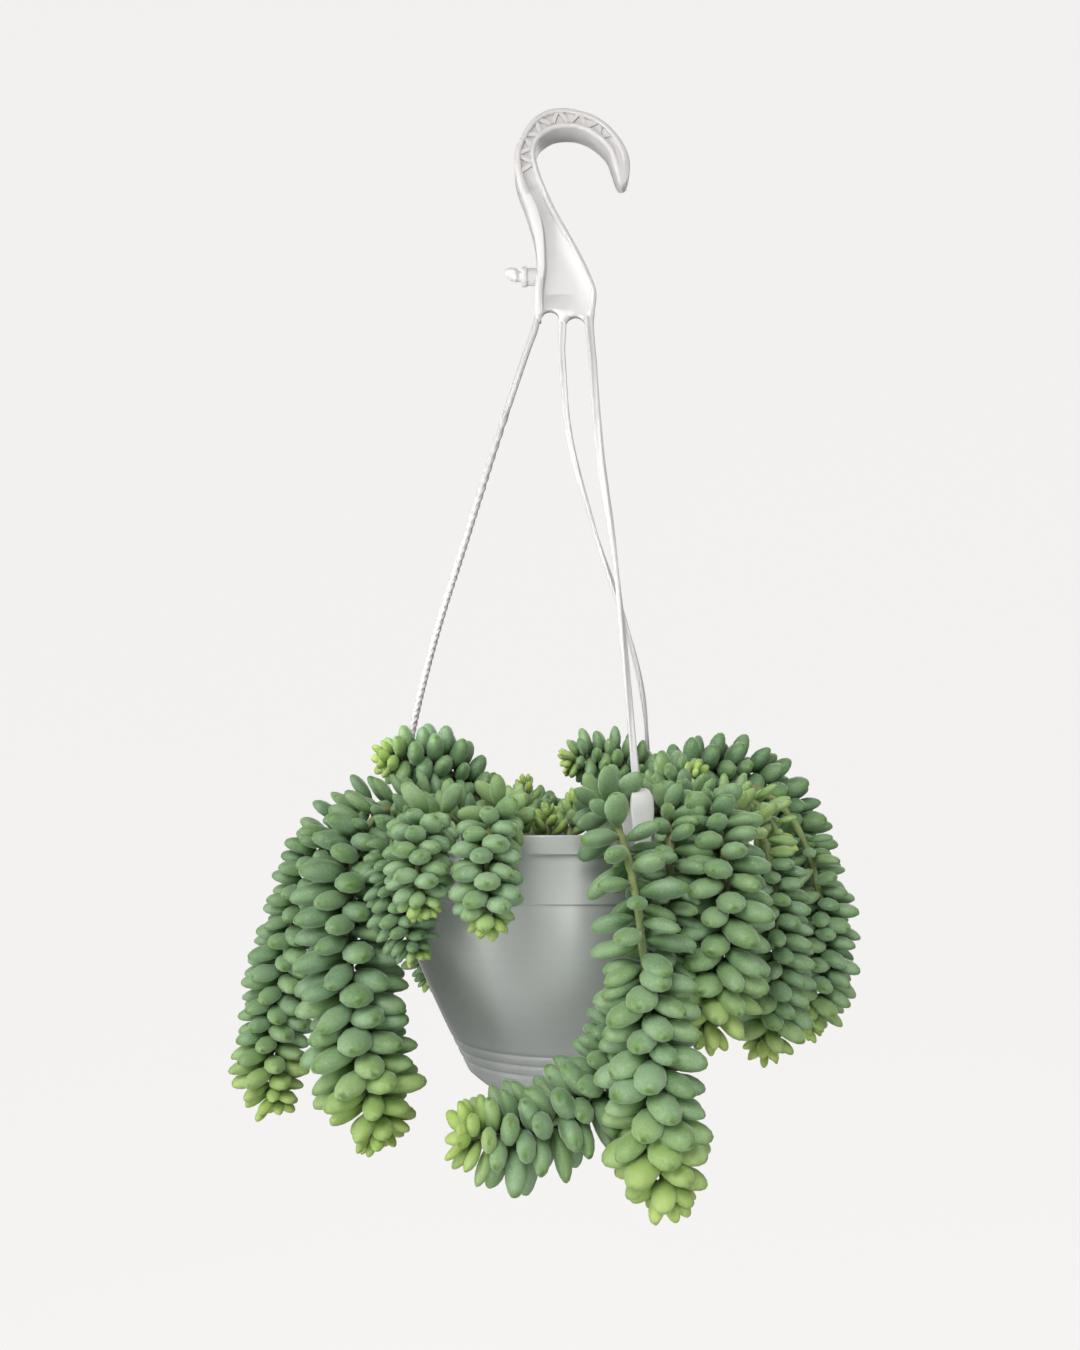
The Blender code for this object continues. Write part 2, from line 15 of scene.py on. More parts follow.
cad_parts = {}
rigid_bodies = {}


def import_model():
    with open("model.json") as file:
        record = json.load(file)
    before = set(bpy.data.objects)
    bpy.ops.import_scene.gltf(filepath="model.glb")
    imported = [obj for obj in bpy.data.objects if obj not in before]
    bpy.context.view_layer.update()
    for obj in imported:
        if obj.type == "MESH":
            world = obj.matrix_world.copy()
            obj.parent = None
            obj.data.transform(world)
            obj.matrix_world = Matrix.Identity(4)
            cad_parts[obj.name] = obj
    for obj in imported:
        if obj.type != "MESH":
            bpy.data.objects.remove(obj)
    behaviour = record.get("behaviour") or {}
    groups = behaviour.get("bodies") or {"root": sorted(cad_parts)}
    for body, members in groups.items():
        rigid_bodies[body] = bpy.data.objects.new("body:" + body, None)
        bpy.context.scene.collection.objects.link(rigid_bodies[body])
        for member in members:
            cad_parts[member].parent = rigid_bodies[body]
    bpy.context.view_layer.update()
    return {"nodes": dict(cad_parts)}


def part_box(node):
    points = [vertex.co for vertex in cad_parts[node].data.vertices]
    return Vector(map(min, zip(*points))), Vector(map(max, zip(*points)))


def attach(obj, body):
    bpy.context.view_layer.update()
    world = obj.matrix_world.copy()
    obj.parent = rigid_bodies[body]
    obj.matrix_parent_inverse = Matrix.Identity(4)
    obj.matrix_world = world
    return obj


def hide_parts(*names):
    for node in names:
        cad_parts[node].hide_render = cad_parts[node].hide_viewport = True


MM = 0.001
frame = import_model()

GOLDEN_ANGLE = math.radians(137.508)
FULL_TURN = 2 * math.pi
LAST_OF_THREE = 2.999          # top of a random range whose whole part picks one of three shapes
POT_LOW, POT_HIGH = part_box("pot")
SOIL_LOW, SOIL_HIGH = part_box("soil")
RIM_CENTRE = Vector(((POT_LOW.x + POT_HIGH.x) / 2, (POT_LOW.y + POT_HIGH.y) / 2, POT_HIGH.z))


# --- node helpers ---

def plug(tree, socket, value):
    """Link a socket into an input, or set the input; a colour is given as (red, green, blue)."""
    if isinstance(value, bpy.types.NodeSocket):
        tree.links.new(value, socket)
    elif socket.type == "RGBA":
        socket.default_value = (*value, 1)
    else:
        socket.default_value = value


def add(tree, kind, inputs=None, **settings):
    """Add a node; inputs are values or sockets by name or number, settings are its properties."""
    made = tree.nodes.new(kind)
    for key, value in settings.items():
        setattr(made, key, value)
    for key, value in (inputs or {}).items():
        plug(tree, made.inputs[key], value)
    return made


def result(tree, kind, inputs=None, output=0, **settings):
    """Add a node and give one of its outputs."""
    return add(tree, kind, inputs, **settings).outputs[output]


def calc(tree, operation, a, b=0.0, clamp=False):
    """A Math node's result."""
    return result(tree, "ShaderNodeMath", {0: a, 1: b}, operation=operation, use_clamp=clamp)


def plus(tree, first, *others):
    """The sum of numbers and sockets."""
    for other in others:
        first = calc(tree, "ADD", first, other)
    return first


def times(tree, first, *others):
    """The product of numbers and sockets."""
    for other in others:
        first = calc(tree, "MULTIPLY", first, other)
    return first


def minus(tree, a, b):
    """One number or socket less another."""
    return calc(tree, "SUBTRACT", a, b)


def vector_calc(tree, operation, a, b=(0, 0, 0)):
    """A Vector Math node's result."""
    output = "Value" if operation == "LENGTH" else "Vector"
    return result(tree, "ShaderNodeVectorMath", {0: a, 1: b}, output, operation=operation)


def scaled(tree, vector, scale):
    """A vector made longer or shorter."""
    return result(tree, "ShaderNodeVectorMath", {0: vector, "Scale": scale}, "Vector", operation="SCALE")


def swing(tree, a, b, angle):
    """Direction a turned towards b by an angle."""
    return vector_calc(tree, "ADD", scaled(tree, a, calc(tree, "COSINE", angle)),
                       scaled(tree, b, calc(tree, "SINE", angle)))


def combine(tree, x, y, z):
    """A vector of three numbers or sockets."""
    return result(tree, "ShaderNodeCombineXYZ", {"X": x, "Y": y, "Z": z})


def rotation(tree, x, y, z):
    """A turn about each axis."""
    return result(tree, "FunctionNodeEulerToRotation", {0: combine(tree, x, y, z)})


def spread(tree, value, low, high, to_low=0.0, to_high=1.0, way="SMOOTHSTEP"):
    """Map a value from one range to another, held at both ends."""
    return result(tree, "ShaderNodeMapRange", {
        "Value": value, "From Min": low, "From Max": high, "To Min": to_low, "To Max": to_high},
        interpolation_type=way)


# --- materials ---

def material(name, roughness, specular, **constants):
    """A Principled material; constants are further sockets of its shader, with _ for a space."""
    made = bpy.data.materials.new(name)
    made.use_nodes = True
    tree = made.node_tree
    shader = tree.nodes["Principled BSDF"]
    constants.update(Roughness=roughness, Specular_IOR_Level=specular)
    for key, value in constants.items():
        plug(tree, shader.inputs[key.replace("_", " ")], value)
    return made, tree, shader


def object_place(tree):
    """Object coordinates, which run through every piece alike because each sits at the origin."""
    return result(tree, "ShaderNodeTexCoord", output="Object")


def object_noise(tree, scale, detail=2.0, rough=0.5, stretch=None):
    """Noise on Object coordinates; scale is in features a metre."""
    place = object_place(tree)
    if stretch:
        place = result(tree, "ShaderNodeMapping", {"Vector": place, "Scale": stretch})
    return result(tree, "ShaderNodeTexNoise", {
        "Vector": place, "Scale": scale, "Detail": detail, "Roughness": rough}, "Fac")


def spots(tree, scale, size, softness=0.3):
    """Scattered round spots: 1 inside a spot of the given share of a cell, 0 outside."""
    place = object_place(tree)
    distance = result(tree, "ShaderNodeTexVoronoi", {"Vector": place, "Scale": scale}, "Distance")
    return spread(tree, distance, size * (1 - softness), size, 1.0, 0.0)


def specks(tree, scale, size, patches, low, high):
    """Spots that come only here and there, where a broad noise is between low and high or above."""
    return times(tree, spots(tree, scale, size), spread(tree, object_noise(tree, patches, 1), low, high))


def blend(tree, share, low, high):
    """Mix two colours, each (red, green, blue) or a socket."""
    return result(tree, "ShaderNodeMix", {0: share, 6: low, 7: high}, 2, data_type="RGBA")


def layered(tree, colour, *layers):
    """Lay colours one over the other; each layer is (share, colour)."""
    for share, over in layers:
        colour = blend(tree, share, colour, over)
    return colour


def attribute(tree, name):
    """A number that the piece carries at each point; 0 where it carries none."""
    return result(tree, "ShaderNodeAttribute", output="Fac", attribute_name=name)


def surface(tree, shader, colour, height, strength, distance, roughness=None):
    """Give the shader its colour, its bump and, where that varies, its roughness."""
    normal = result(tree, "ShaderNodeBump", {"Height": height, "Strength": strength, "Distance": distance},
                    "Normal")
    for name, socket in (("Base Color", colour), ("Normal", normal), ("Roughness", roughness)):
        if socket is not None:
            tree.links.new(socket, shader.inputs[name])


def leaf_material():
    """Waxy leaf: blue-green with a pale bloom, yellow-green when young, a darker spot at the tip, a darker
    green foot that is partly painted shade, and painted shade deep in the leaf mass.
    """
    made, tree, shader = material(
        "waxy_leaf", 0.5, 0.35, Subsurface_Weight=0.05, Subsurface_Radius=(0.0012, 0.0022, 0.0005),
        Subsurface_Scale=1.0, Sheen_Weight=0.5, Sheen_Roughness=0.35, Sheen_Tint=(0.88, 1.0, 0.80))
    youth, along, chance, depth = (
        attribute(tree, name) for name in ("youth", "along_leaf", "leaf_chance", "leaf_depth"))
    mottle = object_noise(tree, 90, 3)
    cloud = object_noise(tree, 420, 2)
    bloom = times(tree, spread(tree, mottle, 0.3, 0.65, 0.15, 0.85),
                  spread(tree, along, 0.25, 0.55, 0.3, 1.0))
    # painted shade: leaves far back from a tail's tip, and every leaf of a darkened shoot, take a deep green
    # for the shade inside the leaf mass
    inner_painted_shade = times(tree, depth, 0.8)
    grown = layered(tree, blend(tree, chance, (0.118, 0.238, 0.100), (0.225, 0.370, 0.140)),
                    (bloom, (0.285, 0.435, 0.265)), (inner_painted_shade, (0.075, 0.170, 0.072)))
    young = blend(tree, chance, (0.325, 0.485, 0.100), (0.440, 0.580, 0.165))
    freckles = spread(tree, object_noise(tree, 1500, 2), 0.50, 0.66, 0.0, 0.22)
    # the foot of each leaf is darker green, partly its own colour and partly painted shade in the gaps
    # between leaves
    foot = spread(tree, along, 0.0, 0.45, 0.6, 0.0)
    # the bloom is rubbed off near the tip, which shows the green and then the small spot of the tip
    rubbed = times(tree, spread(tree, along, 0.84, 1.0), spread(tree, cloud, 0.35, 0.62, 0.1, 0.75),
                   spread(tree, youth, 0.2, 0.8, 1.0, 0.35))
    tip = times(tree, spread(tree, plus(tree, along, times(tree, cloud, 0.03)), 0.985, 1.010),
                spread(tree, youth, 0.3, 0.9, 0.7, 0.2))
    scars = times(tree, spots(tree, 75, 0.085, 0.6), spread(tree, cloud, 0.45, 0.6), 0.6)
    body = layered(tree, blend(tree, youth, grown, young),
                   (freckles, (0.47, 0.58, 0.42)), (foot, (0.060, 0.150, 0.034)),
                   (rubbed, (0.135, 0.270, 0.055)), (tip, (0.080, 0.150, 0.025)),
                   (scars, (0.130, 0.170, 0.045)))
    surface(tree, shader, body, object_noise(tree, 260, 3), 0.16, 0.0012,
            spread(tree, mottle, 0.3, 0.7, 0.38, 0.52))
    return made


def stem_material():
    """Living stem: tan and scarred near the soil, greener towards the tip."""
    made, tree, shader = material("stem_skin", 0.6, 0.35, Subsurface_Weight=0.05,
                                  Subsurface_Radius=(0.002, 0.002, 0.001), Subsurface_Scale=1.0)
    rings = object_noise(tree, 330, 3, 0.6)
    old = blend(tree, rings, (0.19, 0.125, 0.070), (0.29, 0.235, 0.13))
    fresh = blend(tree, rings, (0.180, 0.245, 0.085), (0.285, 0.355, 0.145))
    skin = layered(tree, old, (spread(tree, attribute(tree, "along_stem"), 0.12, 0.5), fresh),
                   (times(tree, spots(tree, 300, 0.2), 0.7), (0.16, 0.10, 0.05)))
    surface(tree, shader, skin, rings, 0.35, 0.0008)
    return made


def pot_material():
    """Light grey moulded plastic, satin, with faint turning marks, dust near the foot and a few specks."""
    made, tree, shader = material("pot_plastic", 0.27, 0.5)
    fine = object_noise(tree, 900, 2)
    rings = object_noise(tree, 60, 2, stretch=(0.02, 0.02, 9))
    height = result(tree, "ShaderNodeSeparateXYZ", {0: object_place(tree)}, "Z")
    dust = times(tree, spread(tree, height, POT_LOW.z, POT_LOW.z + 30 * MM, 0.5, 0.0),
                 spread(tree, object_noise(tree, 110, 4, 0.7), 0.5, 0.72))
    grey = layered(tree, blend(tree, object_noise(tree, 9, 2), (0.450, 0.478, 0.474), (0.478, 0.503, 0.500)),
                   (spread(tree, rings, 0.4, 0.7, 0.0, 0.12), (0.36, 0.38, 0.37)),
                   (dust, (0.30, 0.25, 0.20)),
                   (specks(tree, 75, 0.055, 38, 0.56, 0.6), (0.09, 0.08, 0.07)))
    surface(tree, shader, grey, plus(tree, times(tree, rings, 0.3), times(tree, fine, 0.12)), 0.10, 0.0003)
    return made


def hanger_material(name, shade):
    """White moulded plastic with faint flow marks and a few specks, and a slightly warm painted shade where
    it is recessed.
    """
    made, tree, shader = material(name, 0.36, 0.5, Subsurface_Weight=0.3,
                                  Subsurface_Radius=(0.004, 0.0036, 0.0033), Subsurface_Scale=1.0)
    flow = object_noise(tree, 45, 3, stretch=(1, 1, 0.35))
    fine = object_noise(tree, 700, 2)
    white = layered(tree, blend(tree, flow, (shade, shade * 0.993, shade * 1.006),
                                (shade + 0.04, shade + 0.036, shade + 0.043)),
                    # painted shade: the recess takes the warm pink-beige that the pockets show in shadow
                    (attribute(tree, "recess"), (0.52, 0.485, 0.465)),
                    (specks(tree, 120, 0.05, 60, 0.58, 0.62), (0.20, 0.16, 0.12)))
    surface(tree, shader, white, plus(tree, flow, times(tree, fine, 0.2)), 0.08, 0.0006,
            spread(tree, flow, 0.3, 0.7, 0.32, 0.42))
    return made


def soil_material():
    """Dark, coarse potting mix with paler fibres."""
    made, tree, shader = material("potting_mix", 0.95, 0.2)
    coarse = object_noise(tree, 160, 5, 0.7)
    fine = object_noise(tree, 900, 3, 0.6)
    brown = layered(tree, blend(tree, coarse, (0.022, 0.014, 0.009), (0.095, 0.062, 0.040)),
                    (spread(tree, fine, 0.62, 0.75, 0.0, 0.6), (0.20, 0.15, 0.10)))
    surface(tree, shader, brown, plus(tree, coarse, times(tree, fine, 0.5)), 0.8, 0.0015)
    return made


def perlite_material():
    """Chalky white bits."""
    made, tree, shader = material("perlite_bits", 0.9, 0.2)
    chalk = blend(tree, object_noise(tree, 600, 3), (0.62, 0.60, 0.56), (0.80, 0.79, 0.76))
    surface(tree, shader, chalk, object_noise(tree, 1500, 2), 0.5, 0.0006)
    return made


LEAF = leaf_material()
STEM = stem_material()
POT = pot_material()
# The hanger is one white plastic given in four greys: the clips are a brighter copy, painted light for the
# shade they sit in, and the arms are darker copies, the rope most, painted shade against the strong light on
# them.
HANGER = hanger_material("hanger_plastic", 0.48)
ARM = hanger_material("arm_plastic", 0.46)
ROPE = hanger_material("rope_arm_plastic", 0.36)
CLIP = hanger_material("clip_plastic", 0.86)
SOIL = soil_material()
PERLITE = perlite_material()


# --- meshes ---

ALL_SMOOTH = 180               # no edge is sharper than this, in degrees


def link(name, data):
    """An object of a mesh, light or camera, put in the scene."""
    made = bpy.data.objects.new(name, data)
    bpy.context.scene.collection.objects.link(made)
    return made


def mesh_from(bm, name, sharp_above=35):
    """A mesh with its faces outward, smooth but for the edges sharper than an angle in degrees."""
    bmesh.ops.recalc_face_normals(bm, faces=bm.faces)
    mesh = bpy.data.meshes.new(name)
    bm.to_mesh(mesh)
    bm.free()
    mesh.shade_smooth()
    mesh.set_sharp_from_angle(angle=math.radians(sharp_above))
    return mesh


def skin(bm, rings, closed=True):
    """Faces between each ring of vertices and the next; a ring may be one vertex repeated."""
    for a, b in zip(rings, rings[1:]):
        for j in range(len(a) if closed else len(a) - 1):
            k = (j + 1) % len(a)
            bm.faces.new(list(dict.fromkeys((a[j], a[k], b[k], b[j]))))


def spun(profile, steps, unit=MM):
    """Turn an outline of (radius, z) once round the vertical axis, with one vertex at each pole."""
    bm = bmesh.new()
    turns = [FULL_TURN * i / steps for i in range(steps)]
    rings = []
    for radius, z in profile:
        if radius:
            around = [Vector((radius * math.cos(turn), radius * math.sin(turn), z)) * unit for turn in turns]
            rings.append([bm.verts.new(place) for place in around])
        else:
            rings.append([bm.verts.new((0, 0, z * unit))] * steps)
    skin(bm, rings)
    return bm


def rounded(corners, radius, steps=5):
    """Round the inner corners of an outline of (x, z) with arcs."""
    outline = [corners[0]]
    for before, corner, after in zip(corners, corners[1:], corners[2:]):
        corner = Vector(corner)
        back, ahead = Vector(before) - corner, Vector(after) - corner
        cut = min(radius, 0.45 * back.length, 0.45 * ahead.length)
        start, end = corner + back.normalized() * cut, corner + ahead.normalized() * cut
        for i in range(steps + 1):
            t = i / steps
            outline.append(tuple(start * (1 - t) ** 2 + corner * 2 * t * (1 - t) + end * t * t))
    outline.append(corners[-1])
    return outline


def store(mesh, name, values):
    """Keep one number for each vertex under a name that materials and node trees can read."""
    mesh.attributes.new(name, "FLOAT", "POINT").data.foreach_set("value", list(values))


def finish_piece(piece, slot, *nodes, finish=None):
    """Put a finished piece on the body, with its finish where one is given, and hide the CAD nodes it stands
    for.
    """
    if finish:
        piece.data.materials.clear()
        piece.data.materials.append(finish)
    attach(piece, "root")
    if nodes:
        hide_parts(*nodes)


def lengths_along(points):
    """Length of a line up to each of its points."""
    lengths = [0.0]
    for a, b in zip(points, points[1:]):
        lengths.append(lengths[-1] + (Vector(b[:3]) - Vector(a[:3])).length)
    return lengths


def curve_points(points, step):
    """Points at even steps along a Catmull-Rom curve; each point may carry extra numbers."""
    rows = [tuple(p) for p in points]
    rows = [tuple(2 * a - b for a, b in zip(rows[0], rows[1]))] + rows
    rows.append(tuple(2 * a - b for a, b in zip(rows[-1], rows[-2])))
    fine = []
    pieces = 16
    for before, start, end, after in zip(rows, rows[1:], rows[2:], rows[3:]):
        for i in range(pieces):
            t = i / pieces
            fine.append(tuple(
                0.5 * (2 * b + (c - a) * t + (2 * a - 5 * b + 4 * c - d) * t * t
                       + (3 * b - a - 3 * c + d) * t ** 3)
                for a, b, c, d in zip(before, start, end, after)))
    fine.append(rows[-2])
    lengths = lengths_along(fine)
    count = max(3, round(lengths[-1] / step))
    route = []
    k = 0
    for i in range(count + 1):
        wanted = lengths[-1] * i / count
        while k < len(fine) - 2 and lengths[k + 1] < wanted:
            k += 1
        share = (wanted - lengths[k]) / (lengths[k + 1] - lengths[k])
        route.append(tuple(a + (b - a) * share for a, b in zip(fine[k], fine[k + 1])))
    return route


def path_mesh(name, points):
    """A line of vertices joined by edges, for a node tree to read as a path."""
    mesh = bpy.data.meshes.new(name)
    mesh.from_pydata([tuple(p) for p in points], [(i, i + 1) for i in range(len(points) - 1)], [])
    return mesh


def bake(host, name, drop_loose=False):
    """Turn what the host's modifiers make into a plain mesh piece, and remove the host."""
    bpy.context.view_layer.update()
    graph = bpy.context.evaluated_depsgraph_get()
    mesh = bpy.data.meshes.new_from_object(host.evaluated_get(graph), depsgraph=graph)
    mesh.name = name
    bpy.data.objects.remove(host)
    if drop_loose:
        bm = bmesh.new()
        bm.from_mesh(mesh)
        bmesh.ops.delete(bm, geom=[v for v in bm.verts if not v.link_faces], context="VERTS")
        bm.to_mesh(mesh)
        bm.free()
    return link(name, mesh)


def bake_cut(host, name, *cutters):
    """Bake the host with the cutters taken out of it, and remove them."""
    for cutter in cutters:
        cut = host.modifiers.new("cut", "BOOLEAN")
        cut.operation, cut.object, cut.solver = "DIFFERENCE", cutter, "EXACT"
    piece = bake(host, name)
    for cutter in cutters:
        bpy.data.objects.remove(cutter)
    return piece


def shape_collection(name, meshes):
    """A collection of shapes for a node tree to pick from."""
    made = bpy.data.collections.new(name)
    bpy.context.scene.collection.children.link(made)
    for mesh in meshes:
        made.objects.link(bpy.data.objects.new(mesh.name, mesh))
    return made


def clear_collection(collection):
    """Remove the shapes once they are baked into pieces."""
    for item in list(collection.objects):
        bpy.data.objects.remove(item)
    bpy.data.collections.remove(collection)


# --- geometry node trees ---

def node_tree(name, **inputs):
    """An empty geometry tree and its inputs, each given its default, or its kind if it has none."""
    tree = bpy.data.node_groups.new(name, "GeometryNodeTree")
    tree.is_modifier = True
    for way in ("INPUT", "OUTPUT"):
        tree.interface.new_socket("geometry", in_out=way, socket_type="NodeSocketGeometry")
    for label, value in inputs.items():
        has_default = not isinstance(value, str)
        kind = type(value).__name__.capitalize() if has_default else value
        socket = tree.interface.new_socket(label, in_out="INPUT", socket_type="NodeSocket" + kind)
        if has_default:
            socket.default_value = value
    source = add(tree, "NodeGroupInput")
    return tree, SimpleNamespace(**{socket.name: socket for socket in source.outputs if socket.name})


def end_tree(tree, geometry, finish, keep=None):
    """Realize the instances, set the material and end the tree; keep is geometry passed on as it is."""
    real = result(tree, "GeometryNodeRealizeInstances", {"Geometry": geometry})
    shown = result(tree, "GeometryNodeSetMaterial", {"Geometry": real, "Material": finish})
    if keep is not None:
        both = add(tree, "GeometryNodeJoinGeometry")
        tree.links.new(shown, both.inputs[0])
        tree.links.new(keep, both.inputs[0])
        shown = both.outputs[0]
    add(tree, "NodeGroupOutput", {0: shown})
    return tree


def run_tree(host, tree, **values):
    """Add the tree as a modifier; values are its inputs by name."""
    modifier = host.modifiers.new(tree.name, "NODES")
    modifier.node_group = tree
    sockets = {s.name: s.identifier for s in tree.interface.items_tree if s.in_out == "INPUT"}
    for name, value in values.items():
        modifier[sockets[name]] = value


def named(tree, name):
    """A number that the path carries under a name."""
    return result(tree, "GeometryNodeInputNamedAttribute", {"Name": name}, "Attribute", data_type="FLOAT")


def keep_on(tree, geometry, name, value):
    """Store a number on each point under a name."""
    return result(tree, "GeometryNodeStoreNamedAttribute", {
        "Geometry": geometry, "Name": name, "Value": value}, data_type="FLOAT", domain="POINT")


def smooth_path(tree, geometry, **selection):
    """The line of vertices as a smooth curve."""
    curve = result(tree, "GeometryNodeMeshToCurve", {"Mesh": geometry, **selection})
    curve = result(tree, "GeometryNodeCurveSplineType", {"Curve": curve}, spline_type="CATMULL_ROM")
    return result(tree, "GeometryNodeSetSplineResolution", {"Geometry": curve, "Resolution": 6})


def swept(tree, curve, section, scale):
    """A closed solid of a section along a curve."""
    return result(tree, "GeometryNodeCurveToMesh", {
        "Curve": curve, "Profile Curve": section, "Fill Caps": True, "Scale": scale})


def each_of(tree, collection):
    """The shapes of a collection, to be picked from one by one."""
    return result(tree, "GeometryNodeCollectionInfo", {
        "Collection": collection, "Separate Children": True, "Reset Children": True})


def vary(tree, low, high, seed, number):
    """A random number for each point; number keeps one use apart from the next."""
    made = add(tree, "FunctionNodeRandomValue", data_type="FLOAT")
    low_socket, high_socket = [s for s in made.inputs if s.enabled and s.name in ("Min", "Max")]
    low_socket.default_value, high_socket.default_value = low, high
    tree.links.new(plus(tree, seed, number), made.inputs["Seed"])
    return [s for s in made.outputs if s.enabled][0]


def leafy_tree():
    """Leaves in a golden-angle spiral along a path, from one share of its length to another.

    Places are counted back from the far end, where crowding packs the leaves into a rosette. Near
    the path's own tip the leaves are smaller, closer to the stem and younger.
    """
    tree, given = node_tree(
        "leafy_shoot", leaves="Collection", material="Material", start=0.1, end=1.0, rise=0.0015,
        crowding=13.0, leaf_length=0.02, girth=1.0, foot_size=0.55, foot_length=0.045, tip_size=0.44,
        tip_length=0.02, splay=1.42, tip_splay=0.62, stem_radius=0.0014, lift=0.04, youth=0.0,
        young_length=0.025, tone=0.0, clear_place="Vector", clear_radius=0.0, unevenness=1.0, seed=1)

    def uneven(low, high, number):
        """A random number that grows with the unevenness."""
        return times(tree, vary(tree, low, high, given.seed, number), given.unevenness)

    curve = smooth_path(tree, given.geometry, Selection=named(tree, "path"))
    length = result(tree, "GeometryNodeCurveLength", {"Curve": curve})
    stretch = times(tree, minus(tree, given.end, given.start), length)
    count = plus(tree, calc(tree, "DIVIDE", stretch, given.rise), given.crowding)
    points = result(tree, "GeometryNodePoints", {"Count": count})

    # distance from the path's tip: packed over the first leaves, even after that
    index = result(tree, "GeometryNodeInputIndex")
    packed = calc(tree, "DIVIDE", index, plus(tree, index, given.crowding, 0.001))
    back = times(tree, index, packed, given.rise)
    first = times(tree, minus(tree, 1.0, given.end), length)
    shift = times(tree, vary(tree, -0.35, 0.35, given.seed, 11), given.rise, given.unevenness)
    distance = calc(tree, "MAXIMUM", plus(tree, first, back, shift), 0.0)
    share = calc(tree, "SUBTRACT", 1.0, calc(tree, "DIVIDE", distance, length), clamp=True)
    spot = add(tree, "GeometryNodeSampleCurve", {"Curves": curve, "Factor": share}, mode="FACTOR",
               use_all_curves=True)
    place, tangent, normal = (spot.outputs[k] for k in ("Position", "Tangent", "Normal"))

    # direction of each leaf
    near_tip = spread(tree, distance, 0.0, given.tip_length, way="LINEAR")
    turn = plus(tree, times(tree, index, GOLDEN_ANGLE), uneven(-0.13, 0.13, 12), given.seed)
    radial = swing(tree, normal, vector_calc(tree, "CROSS_PRODUCT", tangent, normal), turn)
    opened = times(tree, calc(tree, "POWER", near_tip, 0.45), minus(tree, given.splay, given.tip_splay))
    splay = plus(tree, uneven(-0.11, 0.11, 13), plus(tree, given.tip_splay, opened))
    aim = vector_calc(tree, "ADD", swing(tree, tangent, radial, splay), scaled(tree, (0, 0, 1), given.lift))
    stand = result(tree, "FunctionNodeAxesToRotation", {"Primary Axis": aim, "Secondary Axis": tangent},
                   primary_axis="Z", secondary_axis="X")
    roll = rotation(tree, 0.0, 0.0, uneven(-0.22, 0.22, 14))
    stand = result(tree, "FunctionNodeRotateRotation", {"Rotation": stand, "Rotate By": roll},
                   rotation_space="LOCAL")
    foot = vector_calc(tree, "ADD", place, scaled(tree, radial, given.stem_radius))
    points = result(tree, "GeometryNodeSetPosition", {"Geometry": points, "Position": foot})

    # size of each leaf
    from_foot = times(tree, minus(tree, share, given.start), length)
    from_foot = spread(tree, from_foot, 0.0, given.foot_length)
    size = times(
        tree, spread(tree, near_tip, 0.0, 1.0, given.tip_size, 1.0, "LINEAR"),
        spread(tree, from_foot, 0.0, 1.0, given.foot_size, 1.0, "LINEAR"),
        plus(tree, 1.0, uneven(-0.10, 0.08, 15)), given.leaf_length)
    broad = times(tree, spread(tree, near_tip, 0.0, 1.0, 0.98, 1.0, "LINEAR"), given.girth)
    wide = times(tree, size, broad)

    # colour of each leaf
    youth = minus(tree, 1.0, spread(tree, distance, 0.0, given.young_length))
    youth = calc(tree, "MAXIMUM", youth, given.youth)
    youth = calc(tree, "ADD", youth, vary(tree, -0.12, 0.12, given.seed, 17), clamp=True)
    # painted shade: leaves further back from the tip, and all leaves of a darkened shoot, are made darker for
    # the shade inside the leaf mass
    depth = plus(tree, given.tone, spread(tree, distance, 0.02, 0.09, 0.0, 0.35))
    for label, value in (("youth", youth), ("leaf_chance", vary(tree, 0.0, 1.0, given.seed, 18)),
                         ("leaf_depth", depth)):
        points = keep_on(tree, points, label, value)

    # no leaf reaches into the clear place, where a clip holds the rim
    free = 1.0
    for part in (0.5, 1.0):
        reach = scaled(tree, vector_calc(tree, "NORMALIZE", aim), times(tree, size, part))
        reach = vector_calc(tree, "SUBTRACT", vector_calc(tree, "ADD", place, reach), given.clear_place)
        outside = calc(tree, "GREATER_THAN", vector_calc(tree, "LENGTH", reach), given.clear_radius)
        free = times(tree, outside, free)
    leaves = result(tree, "GeometryNodeInstanceOnPoints", {
        "Points": points, "Selection": free, "Instance": each_of(tree, given.leaves), "Pick Instance": True,
        "Rotation": stand, "Scale": combine(tree, wide, wide, size),
        "Instance Index": calc(tree, "FLOOR", vary(tree, 0.0, LAST_OF_THREE, given.seed, 16))})
    return end_tree(tree, leaves, given.material, given.geometry)


def stem_tree():
    """A round stem along a path, narrowing to its tip, with the bumps of old leaf scars."""
    tree, given = node_tree("stem", material="Material", radius=0.0017, tip_radius=0.0011, bumps=0.0018)
    curve = smooth_path(tree, given.geometry)
    share = result(tree, "GeometryNodeSplineParameter", output="Factor")
    curve = result(tree, "GeometryNodeResampleCurve", {"Curve": curve, "Length": 0.0016}, mode="LENGTH")
    curve = keep_on(tree, curve, "along_stem", share)
    radius = spread(tree, share, 0.0, 1.0, given.radius, given.tip_radius, "LINEAR")
    ring = result(tree, "GeometryNodeCurvePrimitiveCircle", {"Resolution": 12, "Radius": 1.0}, mode="RADIUS")
    rough = result(tree, "ShaderNodeTexNoise", {"Scale": 260.0, "Detail": 1.0}, "Fac")
    push = scaled(tree, result(tree, "GeometryNodeInputNormal"),
                  times(tree, minus(tree, rough, 0.5), given.bumps))
    tube = swept(tree, curve, ring, radius)
    tube = result(tree, "GeometryNodeSetPosition", {"Geometry": tube, "Offset": push})
    return end_tree(tree, tube, given.material)


